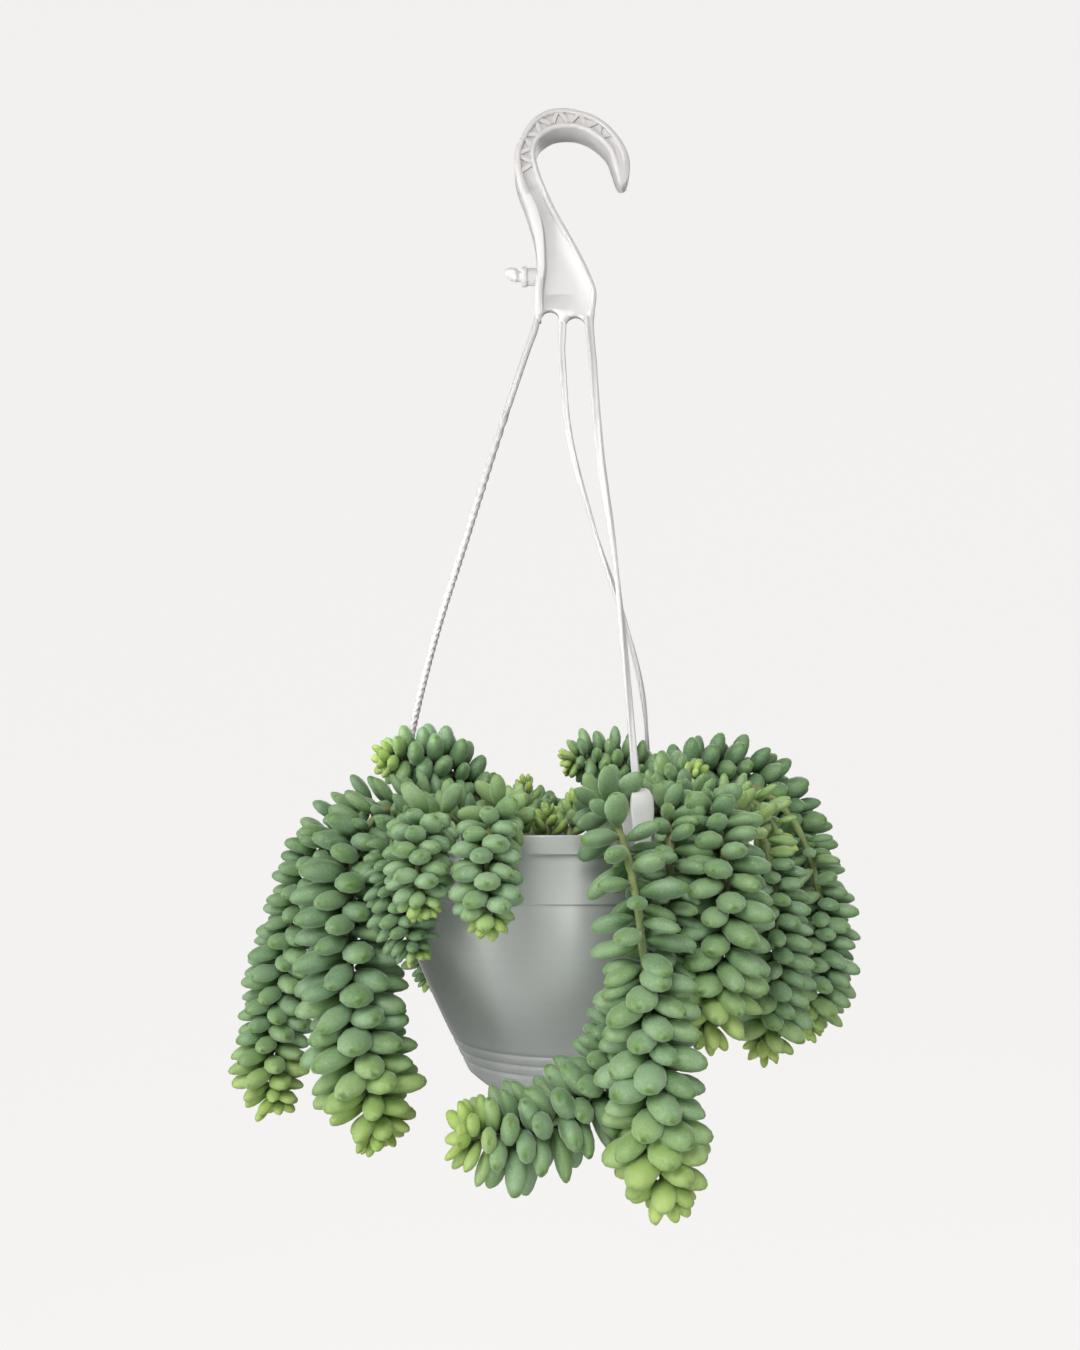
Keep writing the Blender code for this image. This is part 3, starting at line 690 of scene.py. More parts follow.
def strap_tree():
    """A moulded strap of the section's outline along a path, twisted more and more towards its end."""
    tree, given = node_tree("strap", section="Object", material="Material", turns=0.0, twist_from=0.2,
                            step=0.0009)
    curve = smooth_path(tree, given.geometry)
    share = result(tree, "GeometryNodeSplineParameter", output="Factor")
    curve = result(tree, "GeometryNodeResampleCurve", {"Curve": curve, "Length": given.step}, mode="LENGTH")
    wound = calc(tree, "POWER", spread(tree, share, given.twist_from, 1.0, way="LINEAR"), 1.35)
    curve = result(tree, "GeometryNodeSetCurveTilt", {
        "Curve": curve, "Tilt": times(tree, wound, given.turns, FULL_TURN)})
    section = result(tree, "GeometryNodeObjectInfo", {"Object": given.section}, "Geometry")
    section = result(tree, "GeometryNodeMeshToCurve", {"Mesh": section})
    return end_tree(tree, swept(tree, curve, section, named(tree, "thickness")), given.material)


def truss_tree():
    """Slanted ribs along a path, leaning one way and then the other, as long as the path's width says."""
    tree, given = node_tree("truss", material="Material", ribs=12, thickness=0.0019, depth=0.0100, lean=0.56)
    curve = smooth_path(tree, given.geometry)
    width = named(tree, "width")
    curve = result(tree, "GeometryNodeResampleCurve", {"Curve": curve, "Count": given.ribs}, mode="COUNT")
    points = add(tree, "GeometryNodeCurveToPoints", {"Curve": curve}, mode="EVALUATED")
    tangent = points.outputs["Tangent"]
    odd = calc(tree, "MODULO", result(tree, "GeometryNodeInputIndex"), 2.0)
    lean = times(tree, minus(tree, times(tree, odd, 2.0), 1.0), given.lean)
    aim = swing(tree, vector_calc(tree, "CROSS_PRODUCT", tangent, (0, 1, 0)), tangent, lean)
    stand = result(tree, "FunctionNodeAxesToRotation", {"Primary Axis": aim, "Secondary Axis": (0, 1, 0)},
                   primary_axis="X", secondary_axis="Y")
    rib = result(tree, "GeometryNodeMeshCube", {"Size": (1, 1, 1)})
    reach = calc(tree, "DIVIDE", width, calc(tree, "COSINE", given.lean))
    ribs = result(tree, "GeometryNodeInstanceOnPoints", {
        "Points": points.outputs["Points"], "Instance": rib, "Rotation": stand,
        "Scale": combine(tree, reach, given.depth, given.thickness)})
    return end_tree(tree, ribs, given.material)


def scatter_tree():
    """Crumbs scattered over the upward faces of a surface."""
    tree, given = node_tree("scatter", crumbs="Collection", material="Material", density=60000.0,
                            size=0.0016, seed=3)
    facing = result(tree, "ShaderNodeSeparateXYZ", {0: result(tree, "GeometryNodeInputNormal")}, "Z")
    points = result(tree, "GeometryNodeDistributePointsOnFaces", {
        "Mesh": given.geometry, "Selection": calc(tree, "GREATER_THAN", facing, 0.7),
        "Density": given.density, "Seed": given.seed}, distribute_method="RANDOM")
    spin = rotation(tree, *(vary(tree, 0.0, 6.28, given.seed, n) for n in range(3)))
    size = times(tree, given.size, vary(tree, 0.4, 1.3, given.seed, 5))
    crumbs = result(tree, "GeometryNodeInstanceOnPoints", {
        "Points": points, "Instance": each_of(tree, given.crumbs), "Pick Instance": True, "Rotation": spin,
        "Scale": size, "Instance Index": calc(tree, "FLOOR", vary(tree, 0.0, LAST_OF_THREE, given.seed, 6))})
    return end_tree(tree, crumbs, given.material)


# --- plant ---

LEAF_SIDES = 10
LEAF_BANDS = 8
WIDEST = 0.56                  # where a leaf is widest, as a share of its length
FOOT_BLUNTNESS = 0.58          # less makes the foot blunter
FLAT_FACE = 0.82               # how far the flatter face stands out, as a share of the other
LEAF_SHAPES = (                # name, width, thickness, bend, point
    ("leaf_plump", 0.60, 0.46, 0.05, 0.46),
    ("leaf_slim", 0.53, 0.42, 0.08, 0.50),
    ("leaf_broad", 0.65, 0.48, 0.03, 0.43),
)


def leaf_shape(name, width, thickness, bend, point):
    """A plump leaf one unit long from its foot at the origin to its tip on +Z.

    Width is across Y and thickness along X, flatter on the +X face. Bend curves the tip towards +X,
    and point makes the tip sharper.
    """
    bm = bmesh.new()
    rings = []
    heights = []
    for i in range(1, LEAF_BANDS):
        u = (1 - math.cos(math.pi * i / LEAF_BANDS)) / 2
        low = math.sin(math.pi / 2 * min(1, u / WIDEST)) ** FOOT_BLUNTNESS
        high = math.cos(math.pi / 2 * max(0, (u - WIDEST) / (1 - WIDEST))) ** point
        swell = low * high / 2
        ring = []
        for j in range(LEAF_SIDES):
            turn = FULL_TURN * j / LEAF_SIDES
            x = thickness * swell * math.cos(turn) * (FLAT_FACE if math.cos(turn) > 0 else 1)
            ring.append(bm.verts.new((x + bend * u * u, width * swell * math.sin(turn), u)))
            heights.append(u)
        rings.append(ring)
    foot = bm.verts.new((0, 0, 0))
    tip = bm.verts.new((bend, 0, 1))
    heights += [0.0, 1.0]
    skin(bm, [[foot] * LEAF_SIDES, *rings, [tip] * LEAF_SIDES])
    mesh = mesh_from(bm, name, ALL_SMOOTH)
    store(mesh, "along_leaf", heights)
    return mesh


STEM_FLOOR = min(v.co.z for v in frame["nodes"]["young_front_stem"].data.vertices)
BORE_REACH = 3.0 * MM          # a stem is inside its leaf mass where the mass is this near


def stem_line(shoot):
    """Centres of the rings of a CAD stem, from the soil to the tip."""
    bm = bmesh.new()
    bm.from_mesh(frame["nodes"][shoot + "_stem"].data)
    bmesh.ops.remove_doubles(bm, verts=bm.verts, dist=0.02 * MM)
    bm.normal_update()
    ring = {v for f in bm.faces for v in f.verts
            if f.normal.z < -0.98 and abs(f.calc_center_median().z - STEM_FLOOR) < 0.1 * MM}
    seen = set(ring)
    line = []
    while ring:
        line.append(Vector([math.fsum(v.co[axis] for v in ring) / len(ring) for axis in range(3)]))
        ring = {e.other_vert(v) for v in ring for e in v.link_edges} - seen
        seen |= ring
    bm.free()
    return line


def first_leafy_share(shoot, line):
    """Share of the stem's length at which the CAD leaf mass begins."""
    if shoot + "_leaves" not in frame["nodes"]:
        return 1.0
    verts = [v.co for v in frame["nodes"][shoot + "_leaves"].data.vertices]
    lengths = lengths_along(line)
    for point, length in zip(line, lengths):
        if min((v - point).length for v in verts) < BORE_REACH:
            return length / lengths[-1]
    return 0.0


def share_below(line, height):
    """Share of the stem's length at which it has come down past its crest to a height over the rim."""
    crest = max(range(len(line)), key=lambda i: line[i].z)
    lengths = lengths_along(line)
    below = (i for i in range(crest, len(line)) if line[i].z - RIM_CENTRE.z < height * MM)
    return lengths[next(below)] / lengths[-1]


RISE = 0.068                   # spacing of dense leaves along the stem, as a share of the leaf's length
LOOSE_RISE = 0.125             # the same where leaves stand apart and the stem shows
YOUNG = 1.3                    # how far the young leaves of the tip reach back, in leaf lengths
TIP = 0.8                      # the same for its smaller leaves
# What leaves set apart, the sprigs over the soil and the two short tails share.
LOOSE = dict(crowding=0.0, lift=0.3, splay=1.1, unevenness=1.7, girth=0.83, foot_size=0.7, foot_length=0.02)
SPRIG = dict(rise=0.125, crowding=3.0, tip_splay=0.25, splay=0.85, foot_size=0.75, girth=1.1)
SHORT = dict(loose=0.05, loose_rise=0.22, rise=0.085, girth=1.2, foot_size=0.9, foot_length=0.015, young=0.7)

# Each shoot: its leaf length in mm, and then what differs from the defaults. Dense leaves begin where
# the CAD mass does, or where the stem has come down to the height top over the rim, in mm, and young
# stands in for YOUNG. Leaves set apart run from the share loose of the stem's length to where the dense
# ones begin, or to loose_end. The other names are the leafy tree's own inputs. The order sets the seeds.
# A shoot's darkening value lays painted shade over all of its leaves.
SHOOTS = {
    "tail_left_front": dict(leaf=20.0, young=1.9, tone=0.1, top=8, loose=0.03, loose_length=15, rise=0.060,
                            girth=0.93, foot_size=0.85, foot_length=0.02),
    "tail_left_rear": dict(leaf=15.4, young=2.2, tip_size=0.55, tip_splay=0.9, top=3, loose=0.03,
                           loose_length=14, foot_size=0.9),
    "head_left": dict(leaf=15.5, rise=0.078, girth=1.12, young=0.8, tone=0.65, foot_size=0.8,
                      foot_length=0.02, loose=0.05, loose_length=12),
    "tail_short_left": dict(SHORT, leaf=11.2, top=6, loose_length=15, loose_youth=0.15),
    "tail_short_middle": dict(SHORT, leaf=12.2, top=8, loose_length=13, loose_youth=0.3),
    "tail_dark": dict(leaf=11.5, tone=0.5, young=0.3, loose=0.05, loose_length=11, foot_size=0.8),
    "tail_front": dict(leaf=16.3, young=2.0, tip_size=0.5, top=-36, loose=0.12, loose_length=16,
                       loose_rise=0.13, girth=1.04, foot_size=0.92, loose_seed=3),
    "tail_curled": dict(leaf=16.2, loose=0.14, loose_length=12.5, loose_rise=0.085, tip_size=0.56,
                        tip_splay=1.0, young=0.9, girth=0.95, foot_size=0.95, foot_length=0.012),
    "tail_right_front": dict(leaf=16.4, young=1.7, top=11, loose=0.05, loose_length=12, foot_size=0.85),
    "tail_right": dict(leaf=14.0, tone=0.2, top=-8, loose=0.06, loose_length=12, loose_youth=0.5,
                       loose_rise=0.2, foot_size=0.85),
    "tail_far_right": dict(leaf=14.6, tone=0.15, top=-17, loose=0.50, loose_length=13.5, foot_size=0.9),
    "shoot_top_back": dict(leaf=14.5, young=0.5, tone=0.45, youth=0.08, loose=0.05, loose_length=14,
                           loose_rise=0.08, foot_size=0.9),
    "arch_right": dict(leaf=16.2, rise=0.076, girth=1.1, tone=0.6, loose=0.03, loose_length=11,
                       foot_size=0.8, foot_length=0.025),
    "rosette_right": dict(leaf=14.0, young=0.6, tone=0.2, youth=0.15, foot_length=0.02, loose=0.05,
                          loose_length=14, loose_rise=0.08),
    "branch_right": dict(leaf=13.0, loose=0.35, loose_end=0.96, loose_length=12.5, loose_youth=0.4),
    "young_front": dict(SPRIG, leaf=11.0, youth=0.9),
    "young_middle": dict(SPRIG, leaf=11.5, youth=0.8),
    "young_left": dict(SPRIG, leaf=12.5, youth=0.3),
    "young_centre": dict(SPRIG, leaf=14.0, youth=0.3, rise=0.09),
    "young_back": dict(SPRIG, leaf=12.0, youth=0.15, tone=0.4),
    "young_side": dict(SPRIG, leaf=10.5, youth=0.75),
    "young_rear": dict(SPRIG, leaf=12.5, youth=0.1, tone=0.5),
    "tail_back_left_short": dict(leaf=12.0, tone=0.3, loose=0.04, loose_length=11),
    "tail_back_left": dict(leaf=13.5, tone=0.5, young=0.3, loose=0.04, loose_length=12),
    "tail_back": dict(leaf=15.5, tone=0.2, loose=0.04, loose_length=11),
    "tail_back_right": dict(leaf=13.0, tone=0.2, loose=0.04, loose_length=11),
}
CLIP_FRONT = (25.5, -77.5, 5)                     # middle of the front clip, from the rim's centre
CLEAR_OF_CLIP = {"tail_front": 13.0, "tail_curled": 10.0, "tail_right_front": 13.5}   # free distance from it


def build_plant():
    """A stem skin and a foliage piece for each shoot."""
    leaves = shape_collection("leaf_shapes", [leaf_shape(*row) for row in LEAF_SHAPES])
    leafy, stem = leafy_tree(), stem_tree()
    own_inputs = {item.name for item in leafy.interface.items_tree}
    for seed, (shoot, change) in enumerate(SHOOTS.items(), 1):
        line = stem_line(shoot)
        host = link(shoot + "_line", path_mesh(shoot + "_line", line))
        run_tree(host, stem, material=STEM)
        finish_piece(bake(host, shoot + "_stem_skin"), "stem", shoot + "_stem")

        host = link(shoot + "_path", path_mesh(shoot + "_path", line))
        store(host.data, "path", [1.0] * len(line))
        shared = {"leaves": leaves, "material": LEAF}
        if shoot in CLEAR_OF_CLIP:
            shared["clear_place"] = RIM_CENTRE + Vector(CLIP_FRONT) * MM
            shared["clear_radius"] = CLEAR_OF_CLIP[shoot] * MM
        dense = share_below(line, change["top"]) if "top" in change else first_leafy_share(shoot, line)
        if "loose" in change:
            size = change["loose_length"] * MM
            run_tree(host, leafy, start=change["loose"], end=change.get("loose_end", dense),
                     rise=change.get("loose_rise", LOOSE_RISE) * size, leaf_length=size,
                     youth=change.get("loose_youth", 0.05), tone=change.get("tone", 0.0),
                     seed=change.get("loose_seed", seed + 100), **LOOSE, **shared)
        replaced = [node for node in (shoot + "_leaves",) if node in frame["nodes"]]
        if replaced:
            size = change["leaf"] * MM
            own = {name: value for name, value in change.items() if name in own_inputs}
            own["rise"] = own.get("rise", RISE) * size
            run_tree(host, leafy, start=dense, end=1.0, leaf_length=size, tip_length=TIP * size,
                     young_length=change.get("young", YOUNG) * size, seed=seed, **own, **shared)
        slot = "young_leaves" if shoot.startswith("young") else "leaves"
        finish_piece(bake(host, shoot + "_foliage", True), slot, *replaced)
    clear_collection(leaves)


# --- pot and soil ---

POT_SEGMENTS = 160
POT_DEPTH = (POT_HIGH.z - POT_LOW.z) / MM
POT_CREASE = 30                # corners sharper than this stay sharp, in degrees
FOOT_RADIUS = 32.5
FOOT_EDGE = (36.1, 2.6)        # radius and height at which the chamfer of the foot ends
LIP_RADIUS = (POT_HIGH.x - POT_LOW.x) / 2 / MM
LIP_DEPTH = 7.0
LIP_WIDTH = 3.2
BAND_TOP_RADIUS = 73.8
BAND_FOOT_RADIUS = 73.0
BAND_FOOT = 24.5
BOWL_DEPTH = 70.5
GROOVES = (82.0, 86.0, 90.0)
GROOVE_CUT = 0.8
GROOVE_WIDTH = 0.7
WALL = 1.8
FLOOR = 2.4
DRAINS = 4
DRAIN_RADIUS = 3.5
DRAIN_CIRCLE = 20.0
GROOVE_STEP, PLAIN_STEP = 0.45, 3.0        # distance between the pot's rings at the grooves and elsewhere
FOOT_ROUND, BAND_ROUND = 1.5, 0.8
SOIL_RINGS = 34
SOIL_SEGMENTS = 120
SOIL_FOOT_RADIUS = 28.0
SOIL_GAP = 0.5                 # between the soil and the wall
SOIL_SINK = 1.2                # how much lower the soil is at the wall
CRUMBLE = 1.5                  # height of the lumps in its top
CRUMBS = (                     # name, finish, number a square metre, size, seed
    ("soil_crumbs", SOIL, 90000.0, 1.7 * MM, 3),
    ("soil_perlite", PERLITE, 3500.0, 1.9 * MM, 8),
)


def turned(name, profile, segments, sharp_above):
    """A solid of revolution from an outline of (radius, z) in mm from the rim's centre."""
    bm = spun(profile, segments)
    bmesh.ops.translate(bm, verts=bm.verts, vec=RIM_CENTRE)
    return mesh_from(bm, name, sharp_above)


def bowl_radius(depth):
    """Outer radius of the bowl at a depth under the rim, in mm."""
    return 72 - 31.8 * ((depth - BAND_FOOT) / BOWL_DEPTH) ** 1.21


def bowl_inside(*depths, gap=0.0, rise=0.0):
    """Points down the inner face of the bowl, or a gap inside it and a rise above."""
    return [(bowl_radius(depth) - WALL - gap, rise - depth) for depth in depths]


def pot_mesh():
    """The pot's shell: a grooved bowl, a plain band and a lip, with an even wall inside."""
    foot = BAND_FOOT + BOWL_DEPTH
    outside = rounded([(0, -POT_DEPTH), (FOOT_RADIUS, -POT_DEPTH), (FOOT_EDGE[0], FOOT_EDGE[1] - POT_DEPTH),
                       (bowl_radius(foot), -foot)], FOOT_ROUND)
    depth = foot - FOOT_ROUND
    while depth > BAND_FOOT + 1:
        cut = sum(GROOVE_CUT * math.exp(-((depth - groove) / GROOVE_WIDTH) ** 2) for groove in GROOVES)
        outside.append((bowl_radius(depth) - cut, -depth))
        depth -= GROOVE_STEP if depth > GROOVES[0] - PLAIN_STEP else PLAIN_STEP
    band = [(bowl_radius(BAND_FOOT + 1), -BAND_FOOT - 1), (bowl_radius(BAND_FOOT), -BAND_FOOT),
            (BAND_FOOT_RADIUS, -BAND_FOOT), (BAND_TOP_RADIUS, -LIP_DEPTH), (LIP_RADIUS, -LIP_DEPTH),
            (LIP_RADIUS, 0), (LIP_RADIUS - LIP_WIDTH, 0), (BAND_TOP_RADIUS - WALL, -1.6),
            *bowl_inside(BAND_FOOT)]
    inside = bowl_inside(34, 46, 56, 66, 76, 84, 91, 96)
    inside += [(FOOT_RADIUS - 2, FLOOR - POT_DEPTH), (0, FLOOR - POT_DEPTH)]
    return turned("pot_shell", outside + rounded(band, BAND_ROUND) + inside, POT_SEGMENTS, POT_CREASE)


def build_pot():
    """The pot with its drain holes."""
    bm = bmesh.new()
    for i in range(DRAINS):
        turn = FULL_TURN * (i + 0.5) / DRAINS
        made = bmesh.ops.create_cone(bm, cap_ends=True, segments=32, radius1=DRAIN_RADIUS * MM,
                                     radius2=DRAIN_RADIUS * MM, depth=4 * FLOOR * MM)
        middle = Vector((DRAIN_CIRCLE * math.cos(turn), DRAIN_CIRCLE * math.sin(turn), -POT_DEPTH))
        bmesh.ops.translate(bm, verts=made["verts"], vec=RIM_CENTRE + middle * MM)
    drains = link("drain_holes", mesh_from(bm, "drain_holes"))
    pot = bake_cut(link("pot_shell", pot_mesh()), "pot_body", drains)
    finish_piece(pot, "pot", "pot", finish=POT)


def build_soil():
    """Soil with a crumbled top that sinks a little towards the wall, and loose crumbs on it."""
    top = (SOIL_HIGH.z - RIM_CENTRE.z) / MM
    wide = (SOIL_HIGH.x - SOIL_LOW.x) / 2 / MM
    low = (SOIL_LOW.z - RIM_CENTRE.z) / MM
    profile = [(0, low), (SOIL_FOOT_RADIUS, low)]
    profile += [*bowl_inside(96, 84, 66, 46, BAND_FOOT, gap=SOIL_GAP, rise=0.4), (wide, top - SOIL_SINK)]
    profile += [(wide * (1 - i / SOIL_RINGS), top) for i in range(1, SOIL_RINGS + 1)]
    mesh = turned("soil_body", profile, SOIL_SEGMENTS, 80)
    for v in mesh.vertices:
        if SOIL_HIGH.z - v.co.z < 2 * MM:
            v.co.z += (noise.fractal(v.co * 90, 1.0, 2.0, 4) * CRUMBLE - 0.6) * MM
    mesh.materials.append(SOIL)
    soil = link("soil_body", mesh)
    crumbs = shape_collection("crumb_shapes", [crumb_shape("crumb_%d" % i, i) for i in range(3)])
    scatter = scatter_tree()
    for name, finish, density, size, seed in CRUMBS:
        host = link(name + "_bed", mesh.copy())
        run_tree(host, scatter, crumbs=crumbs, material=finish, density=density, size=size, seed=seed)
        finish_piece(bake(host, name), "soil")
    clear_collection(crumbs)
    finish_piece(soil, "soil", "soil")


def crumb_shape(name, number):
    """A rough lump one unit wide."""
    bm = bmesh.new()
    bmesh.ops.create_icosphere(bm, subdivisions=1, radius=0.5)
    for v in bm.verts:
        v.co *= 1 + 0.45 * noise.noise(v.co * 2.3 + Vector((number * 7.1, 0, 0)))
    bmesh.ops.scale(bm, vec=(1.0, 0.8, 0.6), verts=bm.verts)
    return mesh_from(bm, name, 20)


# --- hanger ---

# Hook and plate: outer edge, inner edge, depth and how far the recess fades (0 full, 1 none), from the
# plate's foot round the arch to the tip. Rows are (outer x, outer z, inner x, inner z, depth, fade).
HOOK_ROWS = (
    (-16.2, -104, 12.3, -104, 2.2, 0), (-16.4, -98, 12.8, -98, 5, 0), (-16.5, -89, 13.4, -89, 8, 0),
    (-15.5, -77, 9.3, -77, 8.5, 0), (-16.0, -66, 4.3, -66, 9, 0), (-17.5, -57, -0.3, -57, 9.5, 0),
    (-21, -44, -6.9, -44, 10, 0), (-25.1, -31.6, -12, -31.6, 10.5, 0), (-26.6, -23, -15, -22.3, 11, 0),
    (-26.4, -13.5, -16.2, -14.7, 11, 0), (-24.4, -7, -15, -8, 11, 0), (-19.2, 3.2, -11.2, -3.6, 11, 0),
    (-11.8, 9.4, -6, -0.7, 11, 0), (-2.9, 11.2, 0, 0, 11, 0), (6.1, 9.7, 5.3, -0.6, 11, 0),
    (15.2, 5.8, 11.3, -3.4, 11, 0), (22.6, -1, 16.5, -7.9, 11, 0.1), (28.3, -10, 20.3, -13.2, 11, 0.6),
    (30.8, -18, 22.3, -19.6, 10.5, 0.9), (30.8, -24.4, 23.9, -25.8, 9.6, 1), (30, -28.4, 25.1, -29.6, 8.3, 1),
    (28.7, -30.6, 26.5, -31.1, 5.5, 1), (27.7, -31.4, 27.5, -31.5, 2.5, 1),
)
HOOK_STEP = 1.1                 # distance between the sections of the hook's skin
RIB = 2.4                       # width of the inner rib
WEB_HALF = 1.6                  # half the web's thickness in the plate
ARCH_WEB_HALF = 4.2             # the same in the arch, where the recess is shallow
ARCH_START = -34.0              # z above which the recess is pocketed by slanted ribs
RIBS_START = -30.0              # z above which the slanted ribs run
PLATE_GAPS = ((-9.0, -102.0, 4.3), (3.5, -105.3, 4.5))     # x, z and radius of the gaps between the arms
GAP_REACH = 12.0                # how far a gap's cutter runs past the plate
RECESS_FULL = 1.2               # depth at which the painted warm shade of the recess is full


def ramp(value, start, length):
    """0 up to the start, rising to 1 over the length."""
    return min(1, max(0, (value - start) / length))


def left_rib(z):
    """Width of the outer rib: wide on the hook's neck, narrower on the plate and the arch."""
    neck = math.exp(-((z + 48) / 20) ** 2)
    return 2.7 + 3.0 * neck + 0.9 * ramp(-z, 62, 16)


def hook_section(outer, inner, depth, fade):
    """Half-depths from the outer to the inner edge, as (way across in mm, half-depth), and the recess.

    Two ribs stand at the edges. The web between them is flat beside the outer rib and slopes up to
    the inner one in the plate.
    """
    width = (inner - outer).length
    edge = depth / 2
    round_off = min(0.9, 0.3 * width, 0.5 * edge)
    plate = ramp(-outer.z, 50, 14)
    arch = ramp(outer.z, -44, 16)
    left = min(left_rib(outer.z), 0.42 * width)
    right = min(RIB, 0.3 * width)
    slope = min(0.3 + 6.5 * plate, 0.32 * width)
    web = min(edge, WEB_HALF + (ARCH_WEB_HALF - WEB_HALF) * arch)
    web += (edge - web) * fade
    step = edge - web
    room = min(0.35, 0.05 * width)
    inward = width - right
    stations = [
        (0, edge - round_off), (0.3 * round_off, edge - 0.35 * round_off), (round_off, edge),
        (left - room, edge), (left, edge - 0.12 * step), (left + room, web + 0.14 * step),
        (left + 2 * room, web),
        (max(left + 2.2 * room, inward - slope - 2 * room), web),
        (max(left + 2.4 * room, inward - 0.62 * slope - room), web + 0.07 * step * plate),
        (max(left + 2.6 * room, inward - 0.28 * slope - room), web + 0.20 * step * plate),
        (max(left + 2.8 * room, inward - room), web + (0.14 + 0.22 * plate) * step),
        (inward, edge - 0.12 * step), (inward + room, edge), (width - round_off, edge),
        (width - 0.3 * round_off, edge - 0.35 * round_off), (width, edge - round_off)]
    places = sorted(along for along, half in stations)
    return [(along, half) for along, (_, half) in zip(places, stations)]


def hook_mesh():
    """Hook and plate swept as one skin, with the recess depth kept for the finish as the mask of its painted
    warm shade.
    """
    bm = bmesh.new()
    rings = []
    recess = []
    for row in curve_points([(a, 0, b, *others) for a, b, *others in HOOK_ROWS], HOOK_STEP):
        outer, inner = Vector((row[0], 0, row[2])), Vector((row[3], 0, row[4]))
        stations = hook_section(outer, inner, row[5], min(1, max(0, row[6])))
        width = (inner - outer).length
        across = (inner - outer).normalized()
        in_arch = ramp(outer.z, ARCH_START, 12)
        ring = []
        for side in (-1, 1):
            for along, half in (stations if side < 0 else reversed(stations)):
                ring.append(bm.verts.new((outer + across * along + Vector((0, side * half, 0))) * MM))
                # this recess value is the mask of the painted warm shade in the arch's pockets
                sunk = min(1, (row[5] / 2 - half) / RECESS_FULL)
                recess.append(in_arch * sunk if 0.2 < along < width - 0.9 else 0.0)
        rings.append(ring)
    skin(bm, rings)
    for ring in (rings[0], rings[-1]):
        for i in range(len(ring) // 2 - 1):
            bm.faces.new((ring[i], ring[i + 1], ring[-2 - i], ring[-1 - i]))
    mesh = mesh_from(bm, "hook_body", 42)
    store(mesh, "recess", recess)
    return mesh


def plate_gap_mesh(x, z, radius):
    """Cutter for the rounded gap between two arms at the plate's foot."""
    bm = bmesh.new()
    bmesh.ops.create_cone(bm, cap_ends=True, segments=40, radius1=radius, radius2=radius, depth=2 * GAP_REACH)
    bmesh.ops.rotate(bm, verts=bm.verts, cent=(0, 0, 0), matrix=Matrix.Rotation(math.pi / 2, 3, "X"))
    for vert in bm.verts:
        if vert.co.z < -0.01 * radius:
            vert.co.z -= GAP_REACH
    bmesh.ops.translate(bm, verts=bm.verts, vec=(x, 0, z))
    bmesh.ops.scale(bm, verts=bm.verts, vec=(MM, MM, MM))
    return mesh_from(bm, "plate_gap")


# Arms: points from the plate to the top of each clip, from the rim's centre, and the radius at each.
# The left one is spun like a rope; the others are straps that turn over once or less.
ARMS = {
    "left": dict(rope=True, turns=17.0, twist_from=0.2, points=(
        (-10.7, 0, 251, 1.6), (-11.4, 0, 246, 1.85), (-13.3, 0.4, 240, 1.85), (-15.8, 1, 233, 1.85),
        (-30, 3, 188, 1.8), (-45, 5, 137, 1.75), (-58, 7, 93, 1.7), (-68, 9, 50, 1.7),
        (-72.9, 10.2, 14.4, 1.65))),
    "back": dict(rope=False, turns=1.0, twist_from=0.1, points=(
        (1.1, 0, 251, 1.85), (1.1, 0.1, 246, 1.85), (1, 1.8, 239, 1.7), (1, 5, 229, 1.6),
        (5, 14, 191, 1.45), (18, 25, 146, 1.35), (31, 34, 108, 1.3), (42, 45, 66, 1.35),
        (45.3, 58, 14.4, 1.5))),
    "front": dict(rope=False, turns=0.6, twist_from=0.1, points=(
        (14.1, 0, 251, 2.1), (14.1, -0.2, 246, 2.1), (14.3, -2.8, 238, 1.95), (15, -7, 223, 1.85),
        (17, -23, 168, 1.75), (21, -38, 120, 1.55), (23.5, -52, 72, 1.4), (25, -62, 36, 1.35),
        (25.8, -69, 14.4, 1.7))),
}
ARM_STEP = 9 * MM               # distance between the points of an arm's path
ROPE_STEP = 0.38 * MM           # distance between the sections of its skin
STRAP_STEP = 0.9 * MM
STRANDS = 3
STRAND_SWELL = 0.10             # how far the strands stand out, as a share of the rope's radius
ROPE_SIDES = 18
STRAP_HALF = ((1.0, -0.36), (1.0, 0.36), (0.85, 0.60), (0.5, 0.66), (0.24, 0.54), (-0.24, 0.54),
              (-0.5, 0.66), (-0.85, 0.60))


def arm_section(rope):
    """Section of an arm, one unit in half-width: three soft strands, or a strap with grooved faces."""
    if rope:
        angles = [FULL_TURN * i / ROPE_SIDES for i in range(ROPE_SIDES)]
        sides = [1 - STRAND_SWELL + STRAND_SWELL * math.cos(STRANDS * a) for a in angles]
        points = [(side * math.cos(a), side * math.sin(a), 0) for side, a in zip(sides, angles)]
    else:
        points = [(sign * x, sign * y, 0) for sign in (1, -1) for x, y in STRAP_HALF]
    mesh = bpy.data.meshes.new("arm_section")
    mesh.from_pydata(points, [(i, (i + 1) % len(points)) for i in range(len(points))], [])
    return mesh


